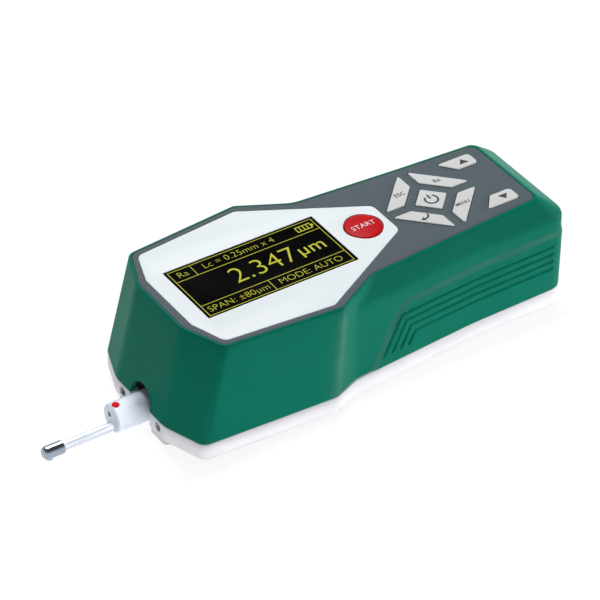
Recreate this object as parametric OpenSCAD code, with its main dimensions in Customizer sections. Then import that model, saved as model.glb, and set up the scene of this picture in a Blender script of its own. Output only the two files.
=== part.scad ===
// Handheld surface roughness tester: a two-part moulded case with a display and
// keys on its top face, and a motor-driven pickup that reaches out of the front.
// Lengths along the case are counted from its front wall at the seam.
// The origin lies on the resting plane, under the middle of the overall length.

/* [Case] */
// Height of the top face above the resting plane
body_h = 46.4; // [45:0.2:52]
// Height of the seam between the base and the upper housing
seam_h = 8.8; // [8.4:0.1:10]
// Height of the feet under the base
foot_h = 2; // [1.4:0.1:2.4]
// Wall thickness of the two mouldings
wall = 2; // [1.6:0.1:2.4]
// Thickness of the base floor
floor_t = 1.6; // [1.4:0.1:1.9]
// Width across the waist corners of the head
head_w = 68.2; // [66:0.2:76]
// Width across the front shoulders of the head
shoulder_w = 62.8; // [60:0.2:66]
// Width of the flat front before the slanted cheeks begin
nose_w = 31; // [29:0.2:35]
// How far the slanted cheeks run back from the front
cheek_run = 5.8; // [4.5:0.1:7.5]
// How far the front leans back between seam and top
front_lean = 7.9; // [6:0.1:9]
// Height of the sloped shoulder round the grip
shoulder_h = 7.2; // [6:0.1:9]
// Horizontal run of the sloped shoulder beside the keys
shoulder_run = 3.7; // [3:0.1:6]
// Width of the housing rim that shows round the face plate
rim_w = 1; // [0.8:0.1:1.6]
// Distance between the last key and the rear wall
rear_margin = 15; // [13.6:0.1:17]
// Rounding of the lower edge of the base
base_edge_r = 1.2; // [0.6:0.1:1.5]

/* [Display] */
// Distance from the case front to the display window
window_setback = 18.6; // [18:0.1:22]
// Length of the display window
window_len = 60; // [56:0.5:66]
// Width of the display window
window_w = 28.9; // [26:0.1:32]
// Thickness of the display window
window_t = 0.9; // [0.6:0.1:1.1]
// Thickness of the display module behind the window
oled_t = 2.4; // [1.8:0.1:3]
// Thickness of the face plate and of the display bezel
plate_t = 1.5; // [1.2:0.1:2]

/* [Keys] */
// Diameter of the round start button
start_dia = 13.4; // [11:0.1:15]
// Distance from the window to the start button
start_gap = 5.1; // [4:0.1:8]
// Distance from the start button to the key diamond
diamond_gap = 2.2; // [2:0.1:6]
// Half diagonal of the outer edge of the key diamond
diamond_out = 19.5; // [18.6:0.1:21]
// Half diagonal of the inner edge of the four diamond keys
diamond_in = 11.8; // [11:0.1:12.6]
// Half diagonal of the square key in the middle
power_half = 6.7; // [6:0.1:7.4]
// Gap between neighbouring diamond keys
key_spacing = 3.8; // [3:0.1:4.4]
// Distance from the middle of the diamond to the front tip of the arrow keys
arrow_setback = 13.3; // [12.6:0.1:18]
// Length of an arrow key along its outer edge
arrow_len = 13.6; // [12:0.1:16]
// Width of an arrow key
arrow_w = 6.2; // [5:0.1:7]
// Distance from the middle line to the outer edge of the arrow keys
arrow_out = 15.4; // [14.4:0.1:17]
// How far the keys stand above the face plate
key_proud = 0.4; // [0.3:0.1:1.2]
// How far a key travels when pressed
key_travel = 0.5; // [0.3:0.05:0.8]
// Corner rounding of the keys
key_corner_r = 0.5; // [0.4:0.1:1.2]

/* [Grip] */
// How far the grip pad stands out of the wall
pad_h = 0.75; // [0.5:0.05:1]
// Distance from the top face down to the upper edge of the grip pad
pad_drop = 12.2; // [11:0.1:14]
// Lean of the front edge of the grip pad and of the groove legs
pad_lean = 26; // [18:1:32]
// Number of angled grooves in the grip pad
groove_count = 4; // [2:1:5]
// Distance between neighbouring grooves
groove_pitch = 3.2; // [2.6:0.1:3.4]
// Width of one groove
groove_w = 1.5; // [1:0.1:1.8]
// Depth of one groove
groove_depth = 0.6; // [0.4:0.05:0.7]

/* [Pickup] */
// Diameter of the pickup body
pickup_dia = 10.6; // [9.8:0.1:11.6]
// How far the pickup body stands out of the case
pickup_out = 11.1; // [9:0.1:14]
// Length of the pickup body inside the case
pickup_in = 8.4; // [7.6:0.1:10]
// Diameter of the stem between body and nose
stem_dia = 3.2; // [2.8:0.1:3.4]
// Length of the stem that shows
stem_len = 19.1; // [15:0.1:24]
// Diameter of the nose
nose_dia = 4.8; // [4.6:0.1:5.4]
// Length of the nose
nose_len = 7.8; // [7.4:0.1:12]
// Height of the skid under the nose
skid_h = 0.5; // [0.3:0.05:0.6]
// Height of the skid above the resting plane
skid_clear = 0.3; // [0.2:0.05:0.5]
// Diameter of the red index dot
dot_dia = 2.7; // [2:0.1:3.2]
// Length of the measuring stroke
stroke = 17.5; // [12:0.5:18]

/* [Drive] */
// Height of the lead screw and of the guide rods
drive_z = 18; // [17.5:0.1:19]
// Diameter of the guide rods
rod_dia = 3; // [2.4:0.1:3.4]
// Distance between the two guide rods
rod_spacing = 18; // [17:0.1:19]
// Diameter of the lead screw
screw_dia = 4; // [3:0.1:4.4]
// Diameter of the rod that carries the pickup
carrier_dia = 4.4; // [4:0.1:4.6]
// Diameter of the gear motor
motor_dia = 14; // [12:0.1:15]
// Length of the gear motor
motor_len = 25; // [20:0.5:28]
// Length of the carriage along its rods
carriage_len = 12; // [9:0.1:14]

/* [Boards and battery] */
// Thickness of the circuit boards
board_t = 1.6; // [1:0.1:2]
// Distance from the top face down to the key board
board_drop = 11.4; // [11:0.1:12.6]
// Height of the battery pack
battery_h = 16; // [12:0.1:18]
// Width of the battery pack
battery_w = 34; // [28:0.2:36]

/* [Fasteners] */
// Diameter of the case screws
screw_d = 2.2; // [2:0.1:2.4]
// Diameter of the two threaded holes in the front
thread_d = 3.6; // [2.6:0.1:3.8]
// Distance between the two threaded holes in the front
thread_spacing = 22.4; // [21.6:0.1:23]

/* [Hidden] */
$fn = 48;

// Clearances
fit = 0.05;
seat_gap = 0.15;
free_gap = 0.3;
key_gap = 0.35;
run_gap = 0.06;
over = 1;
sink = 0.5;

// Arc steps of one rounded corner, on outer forms and on hidden ones
fine = 5;
plain = 2;

// Layout of the top face, front to rear
start_d = window_setback + window_len + start_gap + start_dia / 2;
diamond_d = start_d + start_dia / 2 + diamond_gap + diamond_out;
arrow_d = diamond_d + arrow_setback;
body_len = arrow_d + arrow_len + rear_margin;
head_len = window_setback + window_len - 20.9;
waist_run = 10.5;
waist_in = 4.2;
bend_d = diamond_d + 1.4;

// Shared places
reach = pickup_out + stem_len + nose_len;
x_front = (reach - body_len) / 2;
x_rear = x_front + body_len;

// Levels
z_floor = foot_h + floor_t;
z_crease = body_h - shoulder_h;
z_plate = body_h - plate_t;
deck_t = 2;
z_deck = z_plate - deck_t;
z_pad = body_h - pad_drop;

// Widths of the grip follow the keys that it carries
plate_edge = 1.1;
rim_mid = diamond_out + plate_edge + rim_w;
rim_rear = arrow_out + 2.1 * plate_edge + 0.9 + rim_w;
rim_waist = rim_mid + 2.9;
grip_mid = rim_mid + shoulder_run + pad_h;
grip_rear = grip_mid - 0.6;
rear_run = 9.35;

// Corner lists hold a place from the case front, a half width and a rounding
seam_line = [
    [0, nose_w / 2, 12],
    [cheek_run, shoulder_w / 2, 4],
    [head_len, head_w / 2, 7],
    [head_len + waist_run, head_w / 2 - waist_in, 12],
    [bend_d, grip_mid, 200],
    [body_len, grip_rear, 6.5]];
wall_line = [
    seam_line[0],
    seam_line[1],
    seam_line[2],
    seam_line[3] - [0, pad_h, 0],
    seam_line[4] - [0, pad_h, 0],
    seam_line[5] - [0, pad_h, 0]];
rim_line = [
    [front_lean, nose_w / 2 - 1.6, 10],
    [cheek_run + front_lean + 0.9, shoulder_w / 2 - 1.2, 3.5],
    [head_len + 1.7, head_w / 2 + 0.1, 3],
    [head_len + waist_run + 9.6, rim_waist, 14],
    [bend_d - 1.8, rim_mid, 150],
    [body_len - rear_run, rim_rear, 3]];
lean_share = (z_crease - seam_h) / (body_h - seam_h);
crease_line = [
    for (i = [0:5]) i < 3
        ? wall_line[i] * (1 - lean_share) + rim_line[i] * lean_share
        : wall_line[i]];
bezel_line = [
    [front_lean + 4, nose_w / 2 - 1.35, 3],
    [cheek_run + front_lean + 2.9, shoulder_w / 2 - 4.05, 3],
    [head_len, head_w / 2 - 3.1, 3],
    [start_d + start_dia / 2 + 2.7, start_dia / 2 + 1.4, 3]];

// Vectors and corner lists
function unit(v) = v / norm(v);
function left_of(v) = [-v[1], v[0]];
function flat(c) = [c[0], c[1]];
function item(list, i) = list[(i + len(list)) % len(list)];
function mix(a, b, t) = a * (1 - t) + b * t;
function bend(a, b, c, t) = mix(mix(a, b, t), mix(b, c, t), t);
function moved(line, x, y) = [for (c = line) c + [x, y, 0]];
function turned(line, a) = [
    for (c = line) [c[0] * cos(a) - c[1] * sin(a), c[0] * sin(a) + c[1] * cos(a), c[2]]];
function flipped(line) = [
    for (i = [len(line) - 1:-1:0]) [line[i][0], -line[i][1], line[i][2]]];

// Both halves of a case outline, in the frame of the part
function whole(half) = moved(concat(half, flipped(half)), x_front, 0);

// Corner list with every side moved outwards
function grown(line, d) = [
    for (i = [0:len(line) - 1])
        let (
            p = flat(line[i]),
            a = left_of(unit(p - flat(item(line, i - 1)))),
            b = left_of(unit(flat(item(line, i + 1)) - p)),
            m = (a + b) / (1 + a * b))
        [p[0] + d * m[0], p[1] + d * m[1], line[i][2]]];

// Points of one rounded corner at c, between the sides towards p and q
function corner_arc(p, c, q, r, steps) =
    let (
        u = unit(p - c),
        v = unit(q - c),
        half = acos(max(-1, min(1, u * v))) / 2,
        run = min(r / tan(half), 0.45 * norm(p - c), 0.45 * norm(q - c)),
        mid = c + unit(u + v) * (run / cos(half)),
        turn = 180 - 2 * half,
        from = c + u * run - mid,
        to = c + v * run - mid)
    [for (k = [0:steps])
        mid + (from * sin((1 - k / steps) * turn) + to * sin(k / steps * turn)) / sin(turn)];

function rounded(line, steps) = [
    for (i = [0:len(line) - 1])
        each corner_arc(flat(item(line, i - 1)), flat(line[i]), flat(item(line, i + 1)),
            line[i][2], steps)];
function ring(line, z, steps) = [for (p = rounded(line, steps)) [p[0], p[1], z]];

// Key outlines, in the frame of the part
half_gap = key_spacing / 2;
diamond_key = [
    [half_gap, diamond_out - half_gap, key_corner_r],
    [diamond_out - half_gap, half_gap, key_corner_r],
    [diamond_in - half_gap, half_gap, key_corner_r],
    [half_gap, diamond_in - half_gap, key_corner_r]];
power_key = [
    [0, power_half, key_corner_r],
    [power_half, 0, key_corner_r],
    [0, -power_half, key_corner_r],
    [-power_half, 0, key_corner_r]];
arrow_slant = 0.82 * arrow_w;
arrow_corner_r = key_corner_r + 1;
arrow_key = [
    [0, arrow_out, key_corner_r],
    [arrow_len, arrow_out, arrow_corner_r],
    [arrow_len, arrow_out - arrow_w, arrow_corner_r],
    [arrow_slant, arrow_out - arrow_w, key_corner_r]];
x_diamond = x_front + diamond_d;
x_arrow = x_front + arrow_d;
x_start = x_front + start_d;
seat_out = (diamond_in + diamond_out) / 4;
seat_arrow = [x_arrow + (arrow_len + arrow_slant / 2) / 2, arrow_out - arrow_w / 2];

// Outline and switch place of each key with straight sides
KEYS = [
    ["key_parameter", moved(diamond_key, x_diamond, 0), [x_diamond + seat_out, seat_out]],
    ["key_escape", moved(turned(diamond_key, 90), x_diamond, 0), [x_diamond - seat_out, seat_out]],
    ["key_enter", moved(turned(diamond_key, 180), x_diamond, 0), [x_diamond - seat_out, -seat_out]],
    ["key_menu", moved(turned(diamond_key, 270), x_diamond, 0), [x_diamond + seat_out, -seat_out]],
    ["key_power", moved(power_key, x_diamond, 0), [x_diamond, 0]],
    ["key_up", moved(arrow_key, x_arrow, 0), seat_arrow],
    ["key_down", moved(flipped(arrow_key), x_arrow, 0), [seat_arrow[0], -seat_arrow[1]]]];

// Key heights
flange_t = 1;
flange_w = 1.2;
key_edge = 0.4;
key_stem_d = 3;
switch_w = 5;
switch_body_h = 2.5;
switch_knob_h = 1;
switch_knob_d = 2.4;
z_key_top = body_h + key_proud;
z_flange = z_deck - free_gap - flange_t;
z_board = body_h - board_drop;
z_key_stem = z_board + switch_body_h + switch_knob_h + key_travel + 0.1;

// Display stack
window_ledge = 1;
oled_edge = 1.8;
window_sink = 0.2;
x_window = x_front + window_setback;
z_window = body_h - window_sink - window_t;

// Key board, its posts and screws
board_w = 2 * arrow_out + 0.6;
post_d = 4.4;
post_inset = 2.5;
x_board = x_window + window_len + 3.4;
x_board_end = x_rear - wall - 1.6;
x_rear_post = x_rear - rear_run - post_inset / 2;
board_posts = [
    [x_board + post_inset, board_w / 2 - post_inset],
    [x_board + post_inset, post_inset - board_w / 2],
    [x_rear_post, arrow_out / 2],
    [x_rear_post, -arrow_out / 2]];
small_screw_d = 2;
small_head_d = 3.6;
small_head_h = 1.4;
small_bite = 4;

// Charging socket under the rear end of the key board
socket_w = 9;
socket_h = 3.2;
socket_len = 7.4;
x_socket_face = x_rear - wall - seat_gap;

// Pickup levels follow the skid
z_stem = skid_clear + skid_h + nose_dia / 2;
stem_inset = 0.3;
z_pickup = z_stem + pickup_dia / 2 - stem_dia / 2 - stem_inset;
x_pickup = x_front - pickup_out;
x_nose = x_pickup - stem_len;
x_tip = x_nose - nose_len;
x_pickup_end = x_front + pickup_in;
stem_bite = 5;
nose_bite = 3;
face_hole_d = 2;
dot_setback = 1.7;
dot_depth = 0.8;

// Stylus sizes, shared by the stem and the nose that it runs in
stylus_bore = 1.9;
stylus_dia = 0.9;
stylus_pin_d = 1.1;
stylus_pin_len = 1.45;
stylus_hole_d = 1.6;
x_stylus = x_tip + 2.6;
x_pivot = x_pickup - 3;

// Opening for the pickup
slot_half = pickup_dia / 2 + 0.8;
slot_end = pickup_in + stroke + 0.7;
arch_r = slot_half + 0.3;
z_arch = seam_h + 0.8;

// Drive block
plate_w = 3;
cheek_t = 2;
cheek_half = rod_spacing / 2 + 6.5;
frame_d = 7;
carrier_gap = 5.6;
carrier_flange_t = 3;
carrier_bite = 6;
carriage_d = pickup_in + carrier_gap + carrier_flange_t;
z_carriage = drive_z - 7.4;
carriage_h = 12.2;
carriage_w = rod_spacing + 7;
rear_plate_d = carriage_d + carriage_len + stroke + 3.5;
coupling_len = 8;
coupling_d = 8;
coupling_gap = 2;
motor_plate_d = rear_plate_d + plate_w + 2 * coupling_gap + coupling_len;
motor_plate_t = 2.5;
motor_d = motor_plate_d + motor_plate_t;
motor_shaft_d = 3;
shaft_bite = 6;
z_drive_top = drive_z + 6;
notch_half = slot_half - 0.1;
z_notch = z_pickup + pickup_dia / 2 + 1.4;
bush_d = 7;
bush_flange_d = 8.4;
bush_flange_t = 0.8;
screw_end_d = rear_plate_d + plate_w + coupling_gap + coupling_len / 2;
carriage_bolts = [[z_carriage + 2.4, 4], [z_carriage + 2.4, -4]];

// Lugs that hold the drive block on the base
lug_w = 6;
lug_t = 2;
post_h = 3;
lug_half = cheek_half + 3;
front_lug_d = slot_end + 1.4;
rear_lug_d = rear_plate_d + plate_w / 2;
lug_places = [for (d = [front_lug_d, rear_lug_d], s = [-1, 1]) [x_front + d, s * lug_half]];

// Main board on top of the drive block, with the length, width and height of its parts
main_board_w = 2 * cheek_half;
chip = [12, 12, 1.4];
driver = [5, 6, 1.2];
plug = [5, 9, 3];
part_gap = 2;
x_main_board = x_front + frame_d + 0.4;
x_main_board_end = x_front + motor_d;
main_screws = [for (d = [frame_d, rear_plate_d], s = [-1, 1])
    [x_front + d + plate_w / 2, s * (cheek_half - cheek_t - 2)]];

// Battery between the motor and the rear screws
rib_t = 1.5;
rib_h = 7;
battery_d = motor_d + motor_len + rib_t + 2 * free_gap;
battery_end_d = body_len - 15;
battery_len = battery_end_d - battery_d;

// Case screws and their bosses
boss_d = 6.4;
head_d = 4.2;
head_h = 1.3;
head_room = 0.25;
case_bite = 9;
case_screws = [
    [x_front + 22, shoulder_w / 2 - 6.9],
    [x_front + 22, 6.9 - shoulder_w / 2],
    [x_rear - 6, grip_rear - 5.9],
    [x_rear - 6, 5.9 - grip_rear]];
z_rear_boss = z_crease + 1.2;

// Threaded holes beside the pickup
thread_depth = 5.5;
thread_block = 6.5;
z_thread = seam_h - 3;

// Feet beside the pickup and under the grip
foot_front = [[0.5, slot_half, 0.6], [0.5, nose_w / 2, 2], [20, nose_w / 2, 2], [20, slot_half, 0.6]];
foot_rear = [[body_len - 31, 9, 2], [body_len - 31, 19, 2], [body_len - 17, 19, 2], [body_len - 17, 9, 2]];

// Solid between stacked rings of equally many points
module loft(rings) {
    n = len(rings[0]);
    m = len(rings);
    sides = [
        for (k = [0:m - 2], i = [0:n - 1])
            let (j = (i + 1) % n, low = k * n, high = low + n)
            each [[low + i, low + j, high + j], [low + i, high + j, high + i]]];
    floor_face = [for (i = [n - 1:-1:0]) i];
    top_face = [for (i = [0:n - 1]) (m - 1) * n + i];
    polyhedron([for (r = rings) each r], concat([floor_face], sides, [top_face]), convexity = 8);
}

// Upright prism of a rounded corner list
module slab(line, z, h, steps = fine) {
    translate([0, 0, z]) linear_extrude(h) polygon(rounded(line, steps));
}

// Prism across the case of an outline given as length and height
module across(points) {
    rotate([90, 0, 0]) linear_extrude(3 * head_w, center = true) polygon(points);
}

// Cylinder along the case
module rod(x, y, z, d, len) {
    translate([x, y, z]) rotate([0, 90, 0]) cylinder(d = d, h = len);
}

// Block given by its lowest and highest corners
module block(low, high) {
    translate(low) cube(high - low);
}

// Screw with its head at the bottom, pointing up from the head's seat
module screw_up(x, y, z, d, head, head_len, shank) {
    translate([x, y, z - head_len]) cylinder(d = head, h = head_len);
    translate([x, y, z - sink]) cylinder(d = d, h = shank + sink);
}

// Screw with its head at the top, pointing down from the head's seat
module screw_down(x, y, z, d, head, head_len, shank) {
    translate([x, y, z]) cylinder(d = head, h = head_len);
    translate([x, y, z - shank]) cylinder(d = d, h = shank + sink);
}

// Outer form of the upper housing: leaning head, upright grip, sloped shoulder
module housing_skin() {
    bend_below = 1.8;
    bend_above = 1.2;
    edge_r = 0.6;
    tall = z_crease - seam_h;
    low = mix(wall_line, crease_line, 1 - bend_below / tall);
    high = mix(crease_line, rim_line, bend_above / shoulder_h);
    lip = mix(crease_line, rim_line, 1 - edge_r / shoulder_h);
    crown = grown(whole(rim_line), -edge_r);
    loft(concat(
        [ring(whole(wall_line), seam_h, fine)],
        [for (t = [0:0.25:1])
            ring(whole(bend(low, crease_line, high, t)),
                bend(z_crease - bend_below, z_crease, z_crease + bend_above, t), fine)],
        [for (t = [0:0.5:1])
            ring(bend(whole(lip), whole(rim_line), crown, t),
                bend(body_h - edge_r, body_h, body_h, t), fine)]));
}

// Hollow of the upper housing below its deck
module housing_hollow() {
    deck_share = (z_deck - z_crease) / shoulder_h;
    slope_wall = 1.4 * wall;
    z_bend = z_crease - 0.75 * wall;
    loft([
        ring(grown(whole(wall_line), -wall), seam_h - over, plain),
        ring(grown(whole(crease_line), -wall), z_bend, plain),
        ring(grown(whole(mix(crease_line, rim_line, deck_share)), -slope_wall), z_deck, plain)]);
}

// Raised grip pad that wraps round the rear, flush with the base
module grip_pad() {
    pad_foot = x_front + head_len + 16.6;
    pad_top = pad_foot + (z_pad - seam_h) * tan(pad_lean);
    far = x_rear + over;
    outline = [
        [pad_foot, seam_h, 0.1],
        [pad_top, z_pad, 4],
        [far, z_pad, 0.1],
        [far, seam_h, 0.1]];
    intersection() {
        loft([ring(whole(seam_line), seam_h, fine), ring(whole(seam_line), z_pad, fine)]);
        across(rounded(outline, fine));
    }
}

// Angled grooves in the pad: a level run with a leg that leans like the pad's edge
module grip_grooves() {
    first_drop = 6.1;
    tail = 7.1;
    first_x = x_front + head_len + 29.5;
    shift = 0.64 * groove_pitch;
    z_last = z_pad - first_drop - (groove_count - 1) * groove_pitch;
    z_leg = min(seam_h + 4.9, z_last - groove_w);
    x_end = x_rear - tail;
    half = groove_w / 2;
    wide = half / cos(pad_lean);
    lean = tan(pad_lean);
    difference() {
        for (i = [0:groove_count - 1]) {
            x = first_x + i * shift;
            z = z_pad - first_drop - i * groove_pitch;
            foot = x - (z - z_leg) * lean;
            across([
                [x_end, z + half],
                [x + half * lean - wide, z + half],
                [foot - wide, z_leg],
                [foot + wide, z_leg],
                [x - half * lean + wide, z - half],
                [x_end, z - half]]);
        }
        loft([
            ring(grown(whole(seam_line), -groove_depth), seam_h - over, fine),
            ring(grown(whole(seam_line), -groove_depth), z_pad + over, fine)]);
    }
}

module top_housing() {
    color("#00745f") difference() {
        union() {
            difference() {
                union() {
                    housing_skin();
                    grip_pad();
                }
                housing_hollow();
            }
            for (i = [0:3])
                translate([case_screws[i][0], case_screws[i][1], seam_h])
                    cylinder(d = boss_d, h = (i < 2 ? z_deck + sink : z_rear_boss) - seam_h);
            for (p = board_posts)
                translate([p[0], p[1], z_board]) cylinder(d = post_d, h = z_deck + sink - z_board);
        }
        slab(grown(whole(rim_line), seat_gap - rim_w), z_plate, plate_t + over);
        block([x_window - oled_edge - free_gap, -window_w / 2 - oled_edge - free_gap, z_deck - over],
            [x_window + window_len + oled_edge + free_gap, window_w / 2 + oled_edge + free_gap,
                z_plate + over]);
        for (k = KEYS)
            slab(grown(k[1], key_gap), z_deck - over, deck_t + 2 * over);
        translate([x_start, 0, z_deck - over])
            cylinder(d = start_dia + 2 * key_gap, h = deck_t + 2 * over);
        rod(x_front - over, 0, z_arch, 2 * arch_r, over + frame_d);
        block([x_front - over, -arch_r, seam_h - over], [x_front + frame_d, arch_r, z_arch]);
        for (p = case_screws)
            translate([p[0], p[1], seam_h - over])
                cylinder(d = screw_d + 2 * fit, h = case_bite + over + 0.6);
        for (p = board_posts)
            translate([p[0], p[1], z_board - over])
                cylinder(d = small_screw_d + 2 * fit, h = small_bite + over + 0.4);
        block([x_socket_face - over, -socket_w / 2 - free_gap, z_board - board_t - socket_h - free_gap],
            [x_rear + over, socket_w / 2 + free_gap, z_board - board_t + free_gap]);
        grip_grooves();
    }
}

// Outer form of the base with its rounded lower edge
module base_skin() {
    edge = whole(seam_line);
    loft(concat(
        [for (t = [0:0.5:1])
            ring(grown(edge, -base_edge_r * (1 - sin(90 * t))),
                foot_h + base_edge_r * (1 - cos(90 * t)), fine)],
        [ring(edge, seam_h, fine)]));
}

module base_tray() {
    inner = grown(whole(seam_line), -wall - pad_h);
    color("#f2f1f4") difference() {
        union() {
            difference() {
                base_skin();
                slab(inner, z_floor, seam_h, plain);
            }
            for (p = case_screws)
                translate([p[0], p[1], z_floor - sink]) cylinder(d = boss_d, h = seam_h - z_floor + sink);
            for (p = lug_places)
                translate([p[0], p[1], z_floor - sink]) cylinder(d = lug_w, h = post_h + sink);
            for (s = [-1, 1]) {
                slab(moved(s > 0 ? foot_front : flipped(foot_front), x_front, 0), 0, foot_h + sink);
                slab(moved(s > 0 ? foot_rear : flipped(foot_rear), x_front, 0), 0, foot_h + sink);
                translate([x_front + wall / 2, s * thread_spacing / 2 - thread_block / 2, foot_h + sink])
                    cube([thread_depth + 0.7 - wall / 2, thread_block, seam_h - free_gap - foot_h - sink]);
                translate([x_front + battery_d, s * (battery_w / 2 + seat_gap + rib_t / 2) - rib_t / 2,
                    z_floor - sink])
                    cube([battery_len, rib_t, rib_h + sink]);
            }
            for (d = [battery_d - seat_gap - rib_t, battery_end_d + seat_gap])
                translate([x_front + d, -battery_w / 2, z_floor - sink])
                    cube([rib_t, battery_w, rib_h + sink]);
        }
        block([x_front - over, -slot_half, -over], [x_front + slot_end, slot_half, seam_h + over]);
        for (p = case_screws) {
            translate([p[0], p[1], -over]) cylinder(d = screw_d + 2 * seat_gap, h = seam_h + 2 * over);
            translate([p[0], p[1], -over])
                cylinder(d = head_d + 2 * seat_gap, h = over + foot_h + head_h + head_room);
        }
        for (p = lug_places)
            translate([p[0], p[1], z_floor - 0.6])
                cylinder(d = small_screw_d + 2 * fit, h = post_h + 0.6 + over);
        for (s = [-1, 1])
            rod(x_front - over, s * thread_spacing / 2, z_thread, thread_d, thread_depth + over);
    }
}

module face_plate() {
    color("#5b646b") difference() {
        slab(grown(whole(rim_line), -rim_w), z_plate, plate_t);
        slab(grown(whole(bezel_line), fit), z_plate - over, plate_t + 2 * over);
        for (k = KEYS)
            slab(grown(k[1], key_gap), z_plate - over, plate_t + 2 * over);
    }
}

module display_bezel() {
    color("#f2f8fc") difference() {
        slab(whole(bezel_line), z_plate, plate_t);
        block([x_window - fit, -window_w / 2 - fit, z_window],
            [x_window + window_len + fit, window_w / 2 + fit, body_h + over]);
        block([x_window + window_ledge, window_ledge - window_w / 2, z_plate - over],
            [x_window + window_len - window_ledge, window_w / 2 - window_ledge, body_h + over]);
        translate([x_start, 0, z_plate - over])
            cylinder(d = start_dia + 2 * key_gap, h = plate_t + 2 * over);
    }
}

module display_window() {
    color("#101214")
        block([x_window, -window_w / 2, z_window],
            [x_window + window_len, window_w / 2, z_window + window_t]);
}

// Display module: glass cell, carrier board behind it and a flat cable tail
module oled_panel() {
    cell_t = oled_t / 2;
    tail_w = 12;
    color("#1b1d20") union() {
        block([x_window - oled_edge / 2, -window_w / 2 - oled_edge / 2, z_plate - cell_t],
            [x_window + window_len + oled_edge / 2, window_w / 2 + oled_edge / 2, z_plate]);
        block([x_window - oled_edge, -window_w / 2 - oled_edge, z_plate - oled_t],
            [x_window + window_len + oled_edge, window_w / 2 + oled_edge, z_plate - cell_t]);
        block([x_window + window_len / 2, -tail_w / 2, z_plate - oled_t - 0.6],
            [x_window + window_len / 2 + 9, tail_w / 2, z_plate - oled_t + 0.2]);
    }
}

// Round start button, slightly crowned, with its flange under the deck
module start_button() {
    r = start_dia / 2;
    crown = 0.35;
    z_arc = z_key_top - crown - key_edge;
    arc = [for (t = [0:15:90]) [r - key_edge + key_edge * cos(t), z_arc + key_edge * sin(t)]];
    color("#d41820") union() {
        translate([x_start, 0, 0]) rotate_extrude()
            polygon(concat(
                [[0, z_flange], [r + flange_w, z_flange], [r + flange_w, z_flange + flange_t],
                    [r, z_flange + flange_t]],
                arc,
                [[0.6 * r, z_key_top - 0.12], [0, z_key_top]]));
        translate([x_start, 0, z_key_stem]) cylinder(d = key_stem_d, h = z_flange - z_key_stem + sink);
    }
}

// Cap with softened edges, flange under the deck and stem over its switch
module key_cap(key) {
    line = key[1];
    color("#e0e2e2") union() {
        loft([
            ring(line, z_flange + sink, fine),
            ring(line, z_key_top - key_edge, fine),
            ring(grown(line, -0.3 * key_edge), z_key_top - 0.3 * key_edge, fine),
            ring(grown(line, -key_edge), z_key_top, fine)]);
        slab(grown(line, flange_w), z_flange, flange_t);
        translate([key[2][0], key[2][1], z_key_stem])
            cylinder(d = key_stem_d, h = z_flange - z_key_stem + sink);
    }
}

module key_board() {
    color("#1f6b3a") difference() {
        block([x_board, -board_w / 2, z_board - board_t], [x_board_end, board_w / 2, z_board]);
        for (p = board_posts)
            translate([p[0], p[1], z_board - board_t - over])
                cylinder(d = small_screw_d + 2 * seat_gap, h = board_t + 2 * over);
    }
}

module key_switches() {
    color("#3a3d40") for (p = concat([[x_start, 0]], [for (k = KEYS) k[2]])) {
        translate([p[0] - switch_w / 2, p[1] - switch_w / 2, z_board])
            cube([switch_w, switch_w, switch_body_h]);
        translate([p[0], p[1], z_board + switch_body_h - sink])
            cylinder(d = switch_knob_d, h = switch_knob_h + sink);
    }
}

module board_screws() {
    color("silver") {
        for (p = board_posts)
            screw_up(p[0], p[1], z_board - board_t, small_screw_d, small_head_d, small_head_h,
                board_t + small_bite);
        for (p = main_screws)
            screw_down(p[0], p[1], z_drive_top + board_t, small_screw_d, small_head_d, small_head_h,
                board_t + small_bite);
    }
}

// Charging and data socket: a metal shell round a tongue
module charge_socket() {
    shell = 0.4;
    x0 = x_socket_face - socket_len;
    z0 = z_board - board_t - socket_h;
    color("#b8bcc0") difference() {
        block([x0, -socket_w / 2, z0], [x_socket_face, socket_w / 2, z0 + socket_h]);
        difference() {
            block([x0 + 1.5, shell - socket_w / 2, z0 + shell],
                [x_socket_face + over, socket_w / 2 - shell, z0 + socket_h - shell]);
            block([x0, -socket_w / 3, z0 + socket_h / 2 - shell],
                [x_socket_face - 1, socket_w / 3, z0 + socket_h / 2 + shell]);
        }
    }
}

// Flat part on a board: its sizes, its low corner and the board's upper face
module board_part(size, x, y, z) {
    block([x, y, z - sink], [x + size[0], y + size[1], z + size[2]]);
}

// Main board with its processor, driver and connector
module main_board() {
    z0 = z_drive_top;
    z1 = z_drive_top + board_t;
    mid = (x_main_board + x_main_board_end) / 2;
    color("#1f6b3a") difference() {
        union() {
            block([x_main_board, -main_board_w / 2, z0], [x_main_board_end, main_board_w / 2, z1]);
            board_part(chip, mid - chip[0] / 2, -chip[1] / 2, z1);
            board_part(driver, mid + chip[0] / 2 + part_gap, -driver[1], z1);
            board_part(plug, x_main_board_end - plug[0] - part_gap / 2, part_gap, z1);
        }
        for (p = main_screws)
            translate([p[0], p[1], z0 - over])
                cylinder(d = small_screw_d + 2 * seat_gap, h = board_t + 2 * over);
    }
}

// Two round cells side by side in a shrink sleeve
module battery_pack() {
    r = battery_h / 2;
    side = battery_w / 2 - r;
    color("#2f5fa8") union() {
        for (s = [-1, 1])
            rod(x_front + battery_d, s * side, z_floor + r, battery_h, battery_len);
        block([x_front + battery_d, -side, z_floor], [x_front + battery_end_d, side, z_floor + battery_h]);
    }
}

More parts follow.
